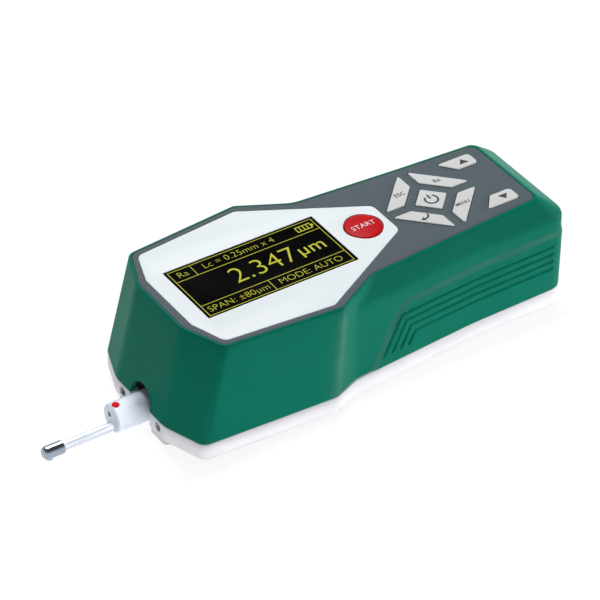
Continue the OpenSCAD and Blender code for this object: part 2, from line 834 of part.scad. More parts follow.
// Drive block: two cheeks with bearing plates, a motor plate and four lugs
module drive_frame() {
    color("#8d9196") difference() {
        union() {
            for (s = [-1, 1]) {
                block([x_front + frame_d, s * (cheek_half - cheek_t / 2) - cheek_t / 2, z_floor],
                    [x_front + motor_d, s * (cheek_half - cheek_t / 2) + cheek_t / 2, z_drive_top]);
            }
            for (d = [frame_d, rear_plate_d])
                block([x_front + d, -cheek_half + sink, z_floor],
                    [x_front + d + plate_w, cheek_half - sink, z_drive_top]);
            block([x_front + motor_plate_d, -cheek_half + sink, z_floor],
                [x_front + motor_d, cheek_half - sink, z_drive_top]);
            for (p = lug_places)
                block([p[0] - lug_w / 2, min(p[1], sign(p[1]) * cheek_half) - (p[1] < 0 ? lug_w / 2 : sink),
                    z_floor + post_h],
                    [p[0] + lug_w / 2, max(p[1], sign(p[1]) * cheek_half) + (p[1] > 0 ? lug_w / 2 : sink),
                        z_floor + post_h + lug_t]);
        }
        block([x_front + frame_d - over, -notch_half, z_floor - over],
            [x_front + frame_d + plate_w + over, notch_half, z_notch]);
        for (d = [frame_d, rear_plate_d]) {
            rod(x_front + d - over, 0, drive_z, bush_d, plate_w + 2 * over);
            for (s = [-1, 1])
                rod(x_front + d - over, s * rod_spacing / 2, drive_z, rod_dia + 2 * fit,
                    plate_w + 2 * over);
        }
        rod(x_front + motor_plate_d - over, 0, drive_z, motor_shaft_d + 2, motor_plate_t + 2 * over);
        for (p = lug_places)
            translate([p[0], p[1], z_floor + post_h - over])
                cylinder(d = small_screw_d + 2 * seat_gap, h = lug_t + 2 * over);
        for (p = main_screws)
            translate([p[0], p[1], z_drive_top - small_bite - 0.4])
                cylinder(d = small_screw_d + 2 * fit, h = small_bite + 0.4 + over);
    }
}

module guide_rods() {
    color("#c9ccd0") for (s = [-1, 1])
        rod(x_front + frame_d, s * rod_spacing / 2, drive_z, rod_dia,
            rear_plate_d + plate_w - frame_d);
}

// Flanged bushes pressed into the bearing plates from inside the block
module screw_bushes() {
    color("#b08d4a") for (s = [0, 1]) {
        d = s == 0 ? frame_d : rear_plate_d;
        x_flange = x_front + (s == 0 ? frame_d + plate_w : rear_plate_d - bush_flange_t);
        difference() {
            union() {
                rod(x_front + d, 0, drive_z, bush_d, plate_w);
                rod(x_flange, 0, drive_z, bush_flange_d, bush_flange_t);
            }
            rod(x_front + d - 2 * over, 0, drive_z, screw_dia + 2 * run_gap, plate_w + 4 * over);
        }
    }
}

// Lead screw with two collars that run against the bush flanges
module lead_screw() {
    collar_d = screw_dia + 2;
    collar_t = 1;
    color("#a6aab0") union() {
        rod(x_front + frame_d, 0, drive_z, screw_dia, screw_end_d - frame_d);
        rod(x_front + frame_d + plate_w + bush_flange_t + free_gap, 0, drive_z, collar_d, collar_t);
        rod(x_front + rear_plate_d - bush_flange_t - free_gap - collar_t, 0, drive_z, collar_d, collar_t);
    }
}

// Clamp coupling between lead screw and motor shaft
module screw_coupling() {
    x0 = x_front + rear_plate_d + plate_w + coupling_gap;
    color("#caa14f") difference() {
        rod(x0, 0, drive_z, coupling_d, coupling_len);
        rod(x0 - over, 0, drive_z, screw_dia + 2 * fit, over + coupling_len / 2);
        rod(x0 + coupling_len / 2 - fit, 0, drive_z, motor_shaft_d + 2 * fit, coupling_len);
        block([x0 + coupling_len / 2 - 0.4, -coupling_d, drive_z + 0.3 * coupling_d],
            [x0 + coupling_len / 2 + 0.4, coupling_d, drive_z + coupling_d]);
    }
}

// Output shaft of the gearbox, clamped in the coupling
module motor_shaft() {
    out = motor_plate_t + coupling_gap + 0.45 * coupling_len;
    color("#c9ccd0") rod(x_front + motor_d - out, 0, drive_z, motor_shaft_d, out + shaft_bite);
}

// Gear motor: gearbox with its shaft bore, and a slimmer motor can
module drive_motor() {
    gear_len = 0.45 * motor_len;
    color("#9a9fa5") difference() {
        union() {
            rod(x_front + motor_d, 0, drive_z, motor_dia, gear_len);
            rod(x_front + motor_d + gear_len - sink, 0, drive_z, motor_dia - 1.6,
                motor_len - gear_len + sink);
        }
        rod(x_front + motor_d - over, 0, drive_z, motor_shaft_d + 2 * run_gap,
            over + shaft_bite + free_gap);
    }
}

// Carriage on the two rods, moved by its nut bore
module carriage() {
    x0 = x_front + carriage_d;
    color("#d9d4c4") difference() {
        block([x0, -carriage_w / 2, z_carriage],
            [x0 + carriage_len, carriage_w / 2, z_carriage + carriage_h]);
        for (s = [-1, 1])
            rod(x0 - over, s * rod_spacing / 2, drive_z, rod_dia + 2 * run_gap, carriage_len + 2 * over);
        rod(x0 - over, 0, drive_z, screw_dia + 2 * run_gap, carriage_len + 2 * over);
        for (p = carriage_bolts)
            rod(x0 - over, p[1], p[0], small_screw_d + 2 * fit, over + small_bite + 0.4);
    }
}

// Rod that carries the pickup, with a flange on the front of the carriage
module carrier_rod() {
    x0 = x_front + carriage_d;
    flange_half = 6;
    z_top = drive_z - screw_dia / 2 - 0.6;
    z_low = z_pickup - carrier_dia / 2;
    color("#c4c8cc") difference() {
        union() {
            rod(x_pickup_end - carrier_bite, 0, z_pickup, carrier_dia,
                carrier_bite + carrier_gap + carrier_flange_t / 2);
            block([x0 - carrier_flange_t, -flange_half, z_low], [x0, flange_half, z_top]);
        }
        for (p = carriage_bolts)
            rod(x0 - carrier_flange_t - over, p[1], p[0], small_screw_d + 2 * seat_gap,
                carrier_flange_t + 2 * over);
    }
}

module carriage_screws() {
    x0 = x_front + carriage_d - carrier_flange_t;
    color("silver") for (p = carriage_bolts) {
        rod(x0 - small_head_h, p[1], p[0], small_head_d, small_head_h);
        rod(x0 - sink, p[1], p[0], small_screw_d, sink + carrier_flange_t + small_bite);
    }
}

// Pickup body: turned sleeve with chamfered ends, a bore for the carrier, a socket for the stem
module pickup_body() {
    r = pickup_dia / 2;
    len = pickup_out + pickup_in;
    chamfer = 0.4;
    color("#dfe1e3") difference() {
        translate([x_pickup, 0, z_pickup]) rotate([0, 90, 0]) rotate_extrude()
            polygon([[0, 0], [r - chamfer, 0], [r, chamfer], [r, len - chamfer], [r - chamfer, len],
                [0, len]]);
        rod(x_pickup_end - carrier_bite - 0.2, 0, z_pickup, carrier_dia + 2 * fit, carrier_bite + over);
        rod(x_pickup - over, 0, z_stem, stem_dia + 2 * fit, over + stem_bite);
        rod(x_pickup - over, 1.4, z_pickup + 0.9, face_hole_d, over + 3);
        translate([x_pickup + dot_setback, 0, z_pickup + r - dot_depth])
            cylinder(d = dot_dia + 2 * fit, h = dot_depth + over);
    }
}

module index_dot() {
    color("#d41820")
        translate([x_pickup + dot_setback, 0, z_pickup + pickup_dia / 2 - dot_depth])
            cylinder(d = dot_dia, h = dot_depth + 0.1);
}

// Hollow stem, with the stylus arm inside it
module pickup_stem() {
    x0 = x_nose - nose_bite;
    len = nose_bite + stem_len + stem_bite;
    color("#e6e7e9") difference() {
        rod(x0, 0, z_stem, stem_dia, len);
        rod(x0 - over, 0, z_stem, stylus_bore, len - 1 + over);
    }
}

// Nose: turned sleeve with a round end, a skid under it and a hole for the stylus
module skid_nose() {
    r = nose_dia / 2;
    end_r = 1.6;
    arc = [for (t = [0:15:90]) [r - end_r + end_r * sin(t), end_r - end_r * cos(t)]];
    lip = 0.3;
    color("#aeb3b8") difference() {
        union() {
            translate([x_tip, 0, z_stem]) rotate([0, 90, 0]) rotate_extrude()
                polygon(concat([[0, 0]], arc, [[r, nose_len - lip], [r - lip, nose_len], [0, nose_len]]));
            translate([x_stylus, 0, skid_clear]) cylinder(d1 = 2.4, d2 = 3.4, h = skid_h + 0.7);
        }
        rod(x_nose - nose_bite, 0, z_stem, stem_dia + 2 * fit, nose_bite + over);
        rod(x_tip + 1.3, 0, z_stem, stylus_bore, nose_len);
        translate([x_stylus, 0, -over]) cylinder(d = stylus_hole_d, h = z_stem + over);
    }
}

// Stylus lever: thin arm on a cross pin, with a needle that points down
module stylus_arm() {
    tip_h = 0.5;
    z_tip = skid_clear - 0.1;
    color("#3b3f44") union() {
        rod(x_stylus - 0.4, 0, z_stem, stylus_dia, x_pivot - x_stylus + 0.4);
        translate([x_pivot, stylus_pin_len / 2, z_stem]) rotate([90, 0, 0])
            cylinder(d = stylus_pin_d, h = stylus_pin_len);
        translate([x_stylus, 0, z_tip + tip_h]) cylinder(d = 0.7, h = z_stem - z_tip - tip_h);
        translate([x_stylus, 0, z_tip]) cylinder(d1 = 0.1, d2 = 0.7, h = tip_h);
    }
}

module base_screws() {
    color("silver") for (p = case_screws)
        screw_up(p[0], p[1], foot_h + head_h + head_room, screw_d, head_d, head_h,
            seam_h - foot_h - head_h - head_room + case_bite);
}

module drive_screws() {
    color("silver") for (p = lug_places)
        screw_down(p[0], p[1], z_floor + post_h + lug_t, small_screw_d, small_head_d, small_head_h,
            lug_t + post_h);
}

top_housing();
base_tray();
face_plate();
display_bezel();
display_window();
oled_panel();
start_button();
key_cap(KEYS[0]);  // key_parameter
key_cap(KEYS[1]);  // key_escape
key_cap(KEYS[2]);  // key_enter
key_cap(KEYS[3]);  // key_menu
key_cap(KEYS[4]);  // key_power
key_cap(KEYS[5]);  // key_up
key_cap(KEYS[6]);  // key_down
key_board();
key_switches();
board_screws();
charge_socket();
main_board();
battery_pack();
drive_frame();
guide_rods();
screw_bushes();
lead_screw();
screw_coupling();
motor_shaft();
drive_motor();
carriage();
carrier_rod();
carriage_screws();
pickup_body();
index_dot();
pickup_stem();
skid_nose();
stylus_arm();
base_screws();
drive_screws();
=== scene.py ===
"""Looks of a handheld surface roughness tester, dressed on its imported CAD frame.

Sizes in the classes are millimetres, along the case from its front wall at the seam, across it
from the middle line, and up from the surface it stands on. Meshes are made in metres.
"""

import logging
import math
from dataclasses import dataclass, field
from enum import Enum
from typing import Iterable, Sequence

import bmesh
import bpy
import numpy as np
from mathutils import Matrix, Vector
from mathutils.geometry import tessellate_polygon


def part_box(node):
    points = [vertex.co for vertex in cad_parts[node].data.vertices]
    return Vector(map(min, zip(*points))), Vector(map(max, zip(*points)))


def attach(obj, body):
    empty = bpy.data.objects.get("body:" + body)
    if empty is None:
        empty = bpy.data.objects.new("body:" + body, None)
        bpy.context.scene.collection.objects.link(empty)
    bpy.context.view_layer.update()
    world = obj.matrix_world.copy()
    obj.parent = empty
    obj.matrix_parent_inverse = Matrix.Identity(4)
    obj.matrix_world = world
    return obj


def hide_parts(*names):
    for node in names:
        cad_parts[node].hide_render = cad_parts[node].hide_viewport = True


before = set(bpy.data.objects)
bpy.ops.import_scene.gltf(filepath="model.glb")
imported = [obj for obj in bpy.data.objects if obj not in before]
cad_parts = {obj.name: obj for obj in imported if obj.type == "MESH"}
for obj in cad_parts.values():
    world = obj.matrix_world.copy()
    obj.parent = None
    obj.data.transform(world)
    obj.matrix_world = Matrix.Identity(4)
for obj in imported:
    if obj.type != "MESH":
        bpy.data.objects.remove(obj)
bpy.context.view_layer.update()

MM = 0.001
SMOOTH_LIMIT = math.radians(35)
# Share of the shorter side that a corner's arc takes up at most
ARC_SHARE = 0.45
# How far cutting tools reach past a wall
CUT_PAST = 2.0
# Metres within which two points count as one
SAME_POINT = 1e-7
# Distance that stands for a place off the grip
FAR = 1e3
# Inputs of a Map Range node, and inputs and output of a Mix node for colours, by their place
VALUE, FROM_LOW, FROM_HIGH, TO_LOW, TO_HIGH = range(5)
FACTOR, COLOUR_A, COLOUR_B = 0, 6, 7
MIXED = 2
# Range that most values of a noise texture lie in
NOISE_LOW, NOISE_HIGH = 0.3, 0.7
# Radians that a wave texture turns through in one unit at a scale of one
WAVE_TURN = 20
log = logging.getLogger("roughness_tester")

Line = np.ndarray
Row = tuple[float, float]
Colour = tuple[float, float, float, float]


class Join(Enum):
    """How one solid is joined with another."""

    CUT = "DIFFERENCE"
    ADD = "UNION"


class Body(Enum):
    """CAD bodies that new pieces ride on."""

    HOUSING = "housing"
    START = "start"
    ESCAPE = "escape"
    PARAMETER = "parameter"
    MENU = "menu"
    ENTER = "enter"
    POWER = "power"
    UP = "up"
    DOWN = "down"


class Slot(Enum):
    """Material slots of the record, handed along with new pieces."""

    HOUSING = "housing_green"
    BASE = "base_white"
    PLATE = "plate_grey"
    BEZEL = "bezel_white"
    WINDOW = "window_black"
    KEY = "key_grey"
    START = "start_red"
    INK = "dark_plastic"
    STEEL = "steel"


class Axis(Enum):
    """Axis that a profile is turned about."""

    ALONG = "x"
    UP = "z"


class End(Enum):
    """Lower or upper corner of a CAD node's box."""

    LOW = 0
    HIGH = 1


# Outlines

def between(first: np.ndarray | float, last: np.ndarray | float, share: np.ndarray | float) -> np.ndarray:
    """Returns the mix of two values, which is the first at a share of zero and the last at one."""
    return first * (1 - share) + last * share


def at_level(points: np.ndarray, height: float) -> np.ndarray:
    """Returns flat points lifted to one height."""
    return np.hstack([points, np.full((len(points), 1), height)])


def thinned(first: float, values: Iterable[float], least: float) -> list[float]:
    """Leaves out values that come too close to the one before.

    Args:
        first: Value that the list starts with.
        values: Later values in rising order.
        least: Distance that has to be passed.

    Returns:
        The first value and those that are kept.
    """
    kept = [first]
    for value in values:
        if value - kept[-1] > least:
            kept.append(float(value))
    return kept


def round_over(radius: float, top: float, rings: int) -> list[Row]:
    """Rounds the upper edge of a moulding.

    Args:
        radius: Radius of the edge.
        top: Height of the upper face.
        rings: How many rings lie on the edge.

    Returns:
        Inset and height of each ring, from the side to the top.
    """
    turns = np.linspace(0, math.pi / 2, rings)
    return [(radius * (1 - math.cos(t)), top - radius + radius * math.sin(t)) for t in turns]


def rectangle(x0: float, x1: float, y0: float, y1: float, r: float) -> Line:
    """Returns the corner list of a rectangle with rounded corners, clockwise from above."""
    return np.array([(x0, y1, r), (x1, y1, r), (x1, y0, r), (x0, y0, r)])


def unit(vector: np.ndarray) -> np.ndarray:
    """Returns the vector with length one."""
    return vector / np.linalg.norm(vector)


def corner_arc(before: np.ndarray, here: np.ndarray, after: np.ndarray, radius: float, steps: int) -> Line:
    """Rounds one corner of an outline.

    Args:
        before: Corner before it.
        here: The corner itself.
        after: Corner after it.
        radius: Rounding, limited by the sides that meet here.
        steps: Straight pieces of the arc.

    Returns:
        Points of the arc, from the side before to the side after.
    """
    to_before, to_after = unit(before - here), unit(after - here)
    half = math.acos(max(-1.0, min(1.0, float(to_before @ to_after)))) / 2
    shorter = min(np.linalg.norm(before - here), np.linalg.norm(after - here))
    run = min(radius / math.tan(half), ARC_SHARE * shorter)
    middle = here + unit(to_before + to_after) * run / math.cos(half)
    turn = math.pi - 2 * half
    share = np.linspace(0, 1, steps + 1)[:, None]
    first, last = here + to_before * run - middle, here + to_after * run - middle
    return middle + (first * np.sin((1 - share) * turn) + last * np.sin(share * turn)) / math.sin(turn)


def offset_line(line: Line, distance: float) -> Line:
    """Moves every side of a closed corner list outwards.

    Args:
        line: Corners as place, width and rounding, clockwise from above.
        distance: How far the sides move, negative for inwards.

    Returns:
        The moved corners with the same roundings.
    """
    here = line[:, :2]
    ahead = np.roll(here, -1, axis=0) - here
    ahead = ahead / np.linalg.norm(ahead, axis=1)[:, None]
    side_after = np.stack([-ahead[:, 1], ahead[:, 0]], axis=1)
    side_before = np.roll(side_after, 1, axis=0)
    share = 1 + np.sum(side_after * side_before, axis=1)[:, None]
    return np.hstack([here + distance * (side_after + side_before) / share, line[:, 2:]])


def rounded(line: Line, steps: int) -> Line:
    """Rounds every corner of a closed corner list.

    Args:
        line: Corners as place, width and rounding.
        steps: Straight pieces of each arc.

    Returns:
        The points of the outline.
    """
    here = line[:, :2]
    count = len(line)
    return np.vstack([corner_arc(here[i - 1], here[i], here[(i + 1) % count], line[i, 2], steps)
                      for i in range(count)])


def mirrored(half: Line) -> Line:
    """Returns a half outline joined with its mirror image across the middle line."""
    return np.vstack([half, half[::-1] * (1, -1, 1)])


def offset_half(half: Line, distance: float) -> Line:
    """Returns a half outline with its sides moved outwards."""
    return offset_line(mirrored(half), distance)[:len(half)]


def turned(line: Line, quarter_turns: int) -> Line:
    """Turns a corner list about the origin.

    Args:
        line: The corners.
        quarter_turns: How many quarter turns, counterclockwise from above.

    Returns:
        The turned corners.
    """
    for _ in range(quarter_turns):
        line = np.stack([-line[:, 1], line[:, 0], line[:, 2]], axis=1)
    return line


def bend(first: np.ndarray, middle: np.ndarray, last: np.ndarray, share: float) -> np.ndarray:
    """Returns a point on the round curve that leaves first and reaches last by way of middle."""
    return first * (1 - share) ** 2 + middle * 2 * share * (1 - share) + last * share ** 2


class HalfOutline:
    """Half outline of the case at one level, from the front middle to the rear middle."""

    ARC_STEPS = 16

    def __init__(self, corners: Line) -> None:
        """Lays out the points and the marks between arcs and straight sides.

        Args:
            corners: The half outline's corners as place, half width and rounding.
        """
        whole = mirrored(corners)[:, :2]
        arcs = [corner_arc(whole[i - 1], whole[i], whole[i + 1], corners[i, 2], self.ARC_STEPS)
                for i in range(len(corners))]
        front, rear = [[corners[0, 0], 0.0]], [[corners[-1, 0], 0.0]]
        self.points = np.vstack([front] + arcs + [rear])
        steps = np.linalg.norm(np.diff(self.points, axis=0), axis=1)
        self.run = np.concatenate([[0.0], np.cumsum(steps)])
        ends = [1 + i * (self.ARC_STEPS + 1) + k for i in range(len(corners)) for k in (0, self.ARC_STEPS)]
        # The grip bends so little that its arc counts as part of one straight side
        grip_bend = 4
        kept = ends[:2 * grip_bend] + ends[2 * grip_bend + 2:]
        self.marks = np.concatenate([[0.0], self.run[kept], [self.run[-1]]])

    def place(self, run: np.ndarray) -> np.ndarray:
        """Returns the points at the given distances along the half outline."""
        return np.stack([np.interp(run, self.run, self.points[:, k]) for k in (0, 1)], axis=1)

    def outward(self, run: np.ndarray) -> np.ndarray:
        """Works out which way is out of the case.

        Args:
            run: Distances along the half outline.

        Returns:
            A unit direction for each of them.
        """
        reach = 0.05
        along = self.place(np.minimum(run + reach, self.run[-1])) - self.place(np.maximum(run - reach, 0))
        along = along / np.linalg.norm(along, axis=1)[:, None]
        return np.stack([-along[:, 1], along[:, 0]], axis=1)

    def run_at(self, place: float) -> float:
        """Returns the distance along the half outline at which a place along the case is reached."""
        return float(np.interp(place, self.points[1:-1, 0], self.run[1:-1]))


# Meshes

def placed(name: str, data: bpy.types.ID) -> bpy.types.Object:
    """Puts a new object into the scene.

    Args:
        name: Name of the object.
        data: What it holds: mesh, curve, light or camera.

    Returns:
        The object.
    """
    made = bpy.data.objects.new(name, data)
    bpy.context.scene.collection.objects.link(made)
    return made


def used_up(piece: bpy.types.Object) -> None:
    """Removes a piece and its mesh.

    Args:
        piece: A piece that went into another one.
    """
    mesh = piece.data
    bpy.data.objects.remove(piece)
    bpy.data.meshes.remove(mesh)


def make_piece(name: str, points: np.ndarray, faces: Sequence[Sequence[int]]) -> bpy.types.Object:
    """Makes a mesh object with outward faces and smooth shading between soft edges.

    Args:
        name: Name of the piece.
        points: Corners in millimetres.
        faces: Corner numbers of each face.

    Returns:
        The new object, in the scene.
    """
    mesh = bpy.data.meshes.new(name)
    mesh.from_pydata((np.asarray(points, float) * MM).tolist(), [], [list(f) for f in faces])
    work = bmesh.new()
    work.from_mesh(mesh)
    bmesh.ops.remove_doubles(work, verts=work.verts, dist=SAME_POINT)
    bmesh.ops.recalc_face_normals(work, faces=work.faces)
    work.to_mesh(mesh)
    work.free()
    piece = placed(name, mesh)
    soften(piece)
    return piece


def soften(piece: bpy.types.Object) -> None:
    """Shades a piece smoothly, apart from its sharp edges."""
    piece.data.shade_smooth()
    piece.data.set_sharp_from_angle(angle=SMOOTH_LIMIT)


def joined(body: bpy.types.Object, tool: bpy.types.Object, how: Join) -> None:
    """Cuts a tool out of a body, or adds it, and removes the tool.

    Args:
        body: The solid that stays.
        tool: The solid that is used up.
        how: Cut or add.
    """
    step = body.modifiers.new("join", "BOOLEAN")
    step.operation = how.value
    step.solver = "EXACT"
    step.object = tool
    made = body.evaluated_get(bpy.context.evaluated_depsgraph_get())
    mesh = bpy.data.meshes.new_from_object(made)
    body.modifiers.clear()
    old = body.data
    body.data = mesh
    mesh.name = old.name
    bpy.data.meshes.remove(old)
    used_up(tool)
    soften(body)


def merged(name: str, pieces: Sequence[bpy.types.Object]) -> bpy.types.Object:
    """Merges several pieces into one object.

    Args:
        name: Name of the new piece.
        pieces: The pieces, which are used up.

    Returns:
        One piece that holds all their faces.
    """
    work = bmesh.new()
    for piece in pieces:
        work.from_mesh(piece.data)
    mesh = bpy.data.meshes.new(name)
    work.to_mesh(mesh)
    work.free()
    for piece in pieces:
        used_up(piece)
    result = placed(name, mesh)
    soften(result)
    return result


def moulded(name: str, outline: Line, holes: Sequence[Line], rows: Sequence[Row],
            steps: int = 8) -> bpy.types.Object:
    """Makes a closed moulding from one outline with holes.

    Args:
        name: Name of the piece.
        outline: Outer corner list.
        holes: Corner lists of the holes.
        rows: Inset and height of each ring, from the underside to the top.
        steps: Straight pieces of each rounded corner.

    Returns:
        The new piece.
    """
    loops = [(outline, -1.0)] + [(hole, 1.0) for hole in holes]
    points: list[np.ndarray] = []
    for inset, height in rows:
        for line, side in loops:
            points.append(at_level(rounded(offset_line(line, side * inset), steps), height))
    sizes = [len(p) for p in points[:len(loops)]]
    total = sum(sizes)
    faces: list[list[int]] = []
    for row in range(len(rows) - 1):
        start = row * total
        for size in sizes:
            for i in range(size):
                j = (i + 1) % size
                faces.append([start + i, start + j, start + total + j, start + total + i])
            start += size
    for row in (0, len(rows) - 1):
        ends = points[row * len(loops):(row + 1) * len(loops)]
        fills = tessellate_polygon([[Vector((p[0], p[1], 0)) for p in ring] for ring in ends])
        faces.extend([[row * total + k for k in fill] for fill in fills])
    return make_piece(name, np.vstack(points), faces)


def lofted(name: str, rings: Sequence[np.ndarray], tube: bool) -> bpy.types.Object:
    """Makes a closed skin through rings of equally many points.

    Args:
        name: Name of the piece.
        rings: Rings of points in order.
        tube: True where the last ring joins the first, False where both ends are filled.

    Returns:
        The new piece.
    """
    count, size = len(rings), len(rings[0])
    faces: list[list[int]] = []
    for row in range(count if tube else count - 1):
        low, high = row * size, (row + 1) % count * size
        faces.extend([[low + i, low + (i + 1) % size, high + (i + 1) % size, high + i] for i in range(size)])
    if not tube:
        faces.append(list(range(size)))
        faces.append(list(range((count - 1) * size, count * size)))
    return make_piece(name, np.vstack(rings), faces)


def revolved(name: str, profile: Sequence[Row], place: Sequence[float], axis: Axis,
             steps: int) -> bpy.types.Object:
    """Turns a profile about an axis.

    Args:
        name: Name of the piece.
        profile: Radius and distance along the axis, closed on the axis at both ends.
        place: Point on the axis from which distances count.
        axis: Direction of the axis.
        steps: Faces round the axis.

    Returns:
        The new piece.
    """
    angles = np.linspace(0, 2 * math.pi, steps, endpoint=False)
    rings = []
    for radius, along in profile:
        across, up = radius * np.cos(angles), radius * np.sin(angles)
        run = np.full(steps, along)
        columns = (run, across, up) if axis is Axis.ALONG else (across, up, run)
        rings.append(np.stack(columns, axis=1) + np.array(place))
    return lofted(name, rings, tube=False)


def stroke(name: str, path: Sequence[Row], width: float, low: float, high: float,
           closed: bool) -> bpy.types.Object:
    """Makes a flat printed line of constant width.

    Args:
        name: Name of the piece.
        path: Points of the middle line.
        width: Width of the line.
        low: Height of its underside.
        high: Height of its top.
        closed: True where the last point joins the first.

    Returns:
        The new piece.
    """
    points = np.array(path, float)
    count = len(points)
    ahead = np.roll(points, -1, axis=0) - points
    if not closed:
        ahead[-1] = ahead[-2]
    ahead = ahead / np.linalg.norm(ahead, axis=1)[:, None]
    back = np.roll(ahead, 1, axis=0)
    if not closed:
        back[0] = ahead[0]
    side, side_back = (np.stack([-d[:, 1], d[:, 0]], axis=1) for d in (ahead, back))
    miter = (side + side_back) / (1 + np.sum(side * side_back, axis=1))[:, None]
    corners = [at_level(points + s * width / 2 * miter, z)
               for s, z in ((1, low), (-1, low), (-1, high), (1, high))]
    faces: list[list[int]] = []
    for i in range(count if closed else count - 1):
        j = (i + 1) % count
        faces.extend([[k * count + i, k * count + j, (k + 1) % 4 * count + j, (k + 1) % 4 * count + i]
                      for k in range(4)])
    if not closed:
        faces.extend([[k * count + i for k in range(4)] for i in (0, count - 1)])
    return make_piece(name, np.vstack(corners), faces)


def lettering(name: str, words: str, height: float, place: Sequence[float], depth: float,
              boldness: float = 0.0) -> bpy.types.Object:
    """Makes raised lettering that reads along the case.

    Args:
        name: Name of the piece.
        words: What it says.
        height: Height of a capital letter.
        place: Middle of the word, at the surface that it lies on.
        depth: How far it stands up.
        boldness: Share of the height that the strokes grow by.

    Returns:
        The new piece.
    """
    capital_share = 0.72
    curve = bpy.data.curves.new(name, "FONT")
    curve.body = words
    curve.size = height / capital_share
    curve.align_x, curve.align_y = "CENTER", "CENTER"
    curve.offset = boldness * height
    curve.resolution_u = 6
    curve.extrude = depth / 2
    holder = placed(name, curve)
    mesh = bpy.data.meshes.new_from_object(holder.evaluated_get(bpy.context.evaluated_depsgraph_get()))
    bpy.data.objects.remove(holder)
    bpy.data.curves.remove(curve)
    lift = Matrix.Translation(Vector(place) + Vector((0, 0, depth / 2)))
    mesh.transform(Matrix.Scale(MM, 4) @ lift)
    mesh.name = name
    return placed(name, mesh)


# Finishes

def linear(code: str) -> Colour:
    """Turns an sRGB hex value into linear colour.

    Args:
        code: Six hex digits after a hash.

    Returns:
        Red, green, blue and an alpha of one.
    """
    parts = [int(code[k:k + 2], 16) / 255 for k in (1, 3, 5)]
    red, green, blue = (c / 12.92 if c <= 0.04045 else ((c + 0.055) / 1.055) ** 2.4 for c in parts)
    return red, green, blue, 1.0


def add(tree: bpy.types.NodeTree, kind: str, settings: dict[str, object] | None = None,
        inputs: dict[str | int, object] | None = None) -> bpy.types.Node:
    """Adds a node with its settings, values and links.

    Args:
        tree: Node tree that takes it.
        kind: Blender's name for the node.
        settings: Properties of the node.
        inputs: Values for its inputs, or the outputs that feed them.

    Returns:
        The new node.
    """
    node = tree.nodes.new(kind)
    for key, value in (settings or {}).items():
        setattr(node, key, value)
    for key, value in (inputs or {}).items():
        if isinstance(value, bpy.types.NodeSocket):
            tree.links.new(value, node.inputs[key])
        else:
            node.inputs[key].default_value = value
    return node


def new_tree(name: str) -> tuple[bpy.types.Material, bpy.types.NodeTree]:
    """Starts a material.

    Args:
        name: Name of the material.

    Returns:
        The new material and its empty node tree.
    """
    material = bpy.data.materials.new(name)
    material.use_nodes = True
    material.node_tree.nodes.clear()
    return material, material.node_tree


def per_metre(millimetres: float) -> float:
    """Returns a texture scale whose pattern repeats at a real size."""
    return 1 / (millimetres * MM)


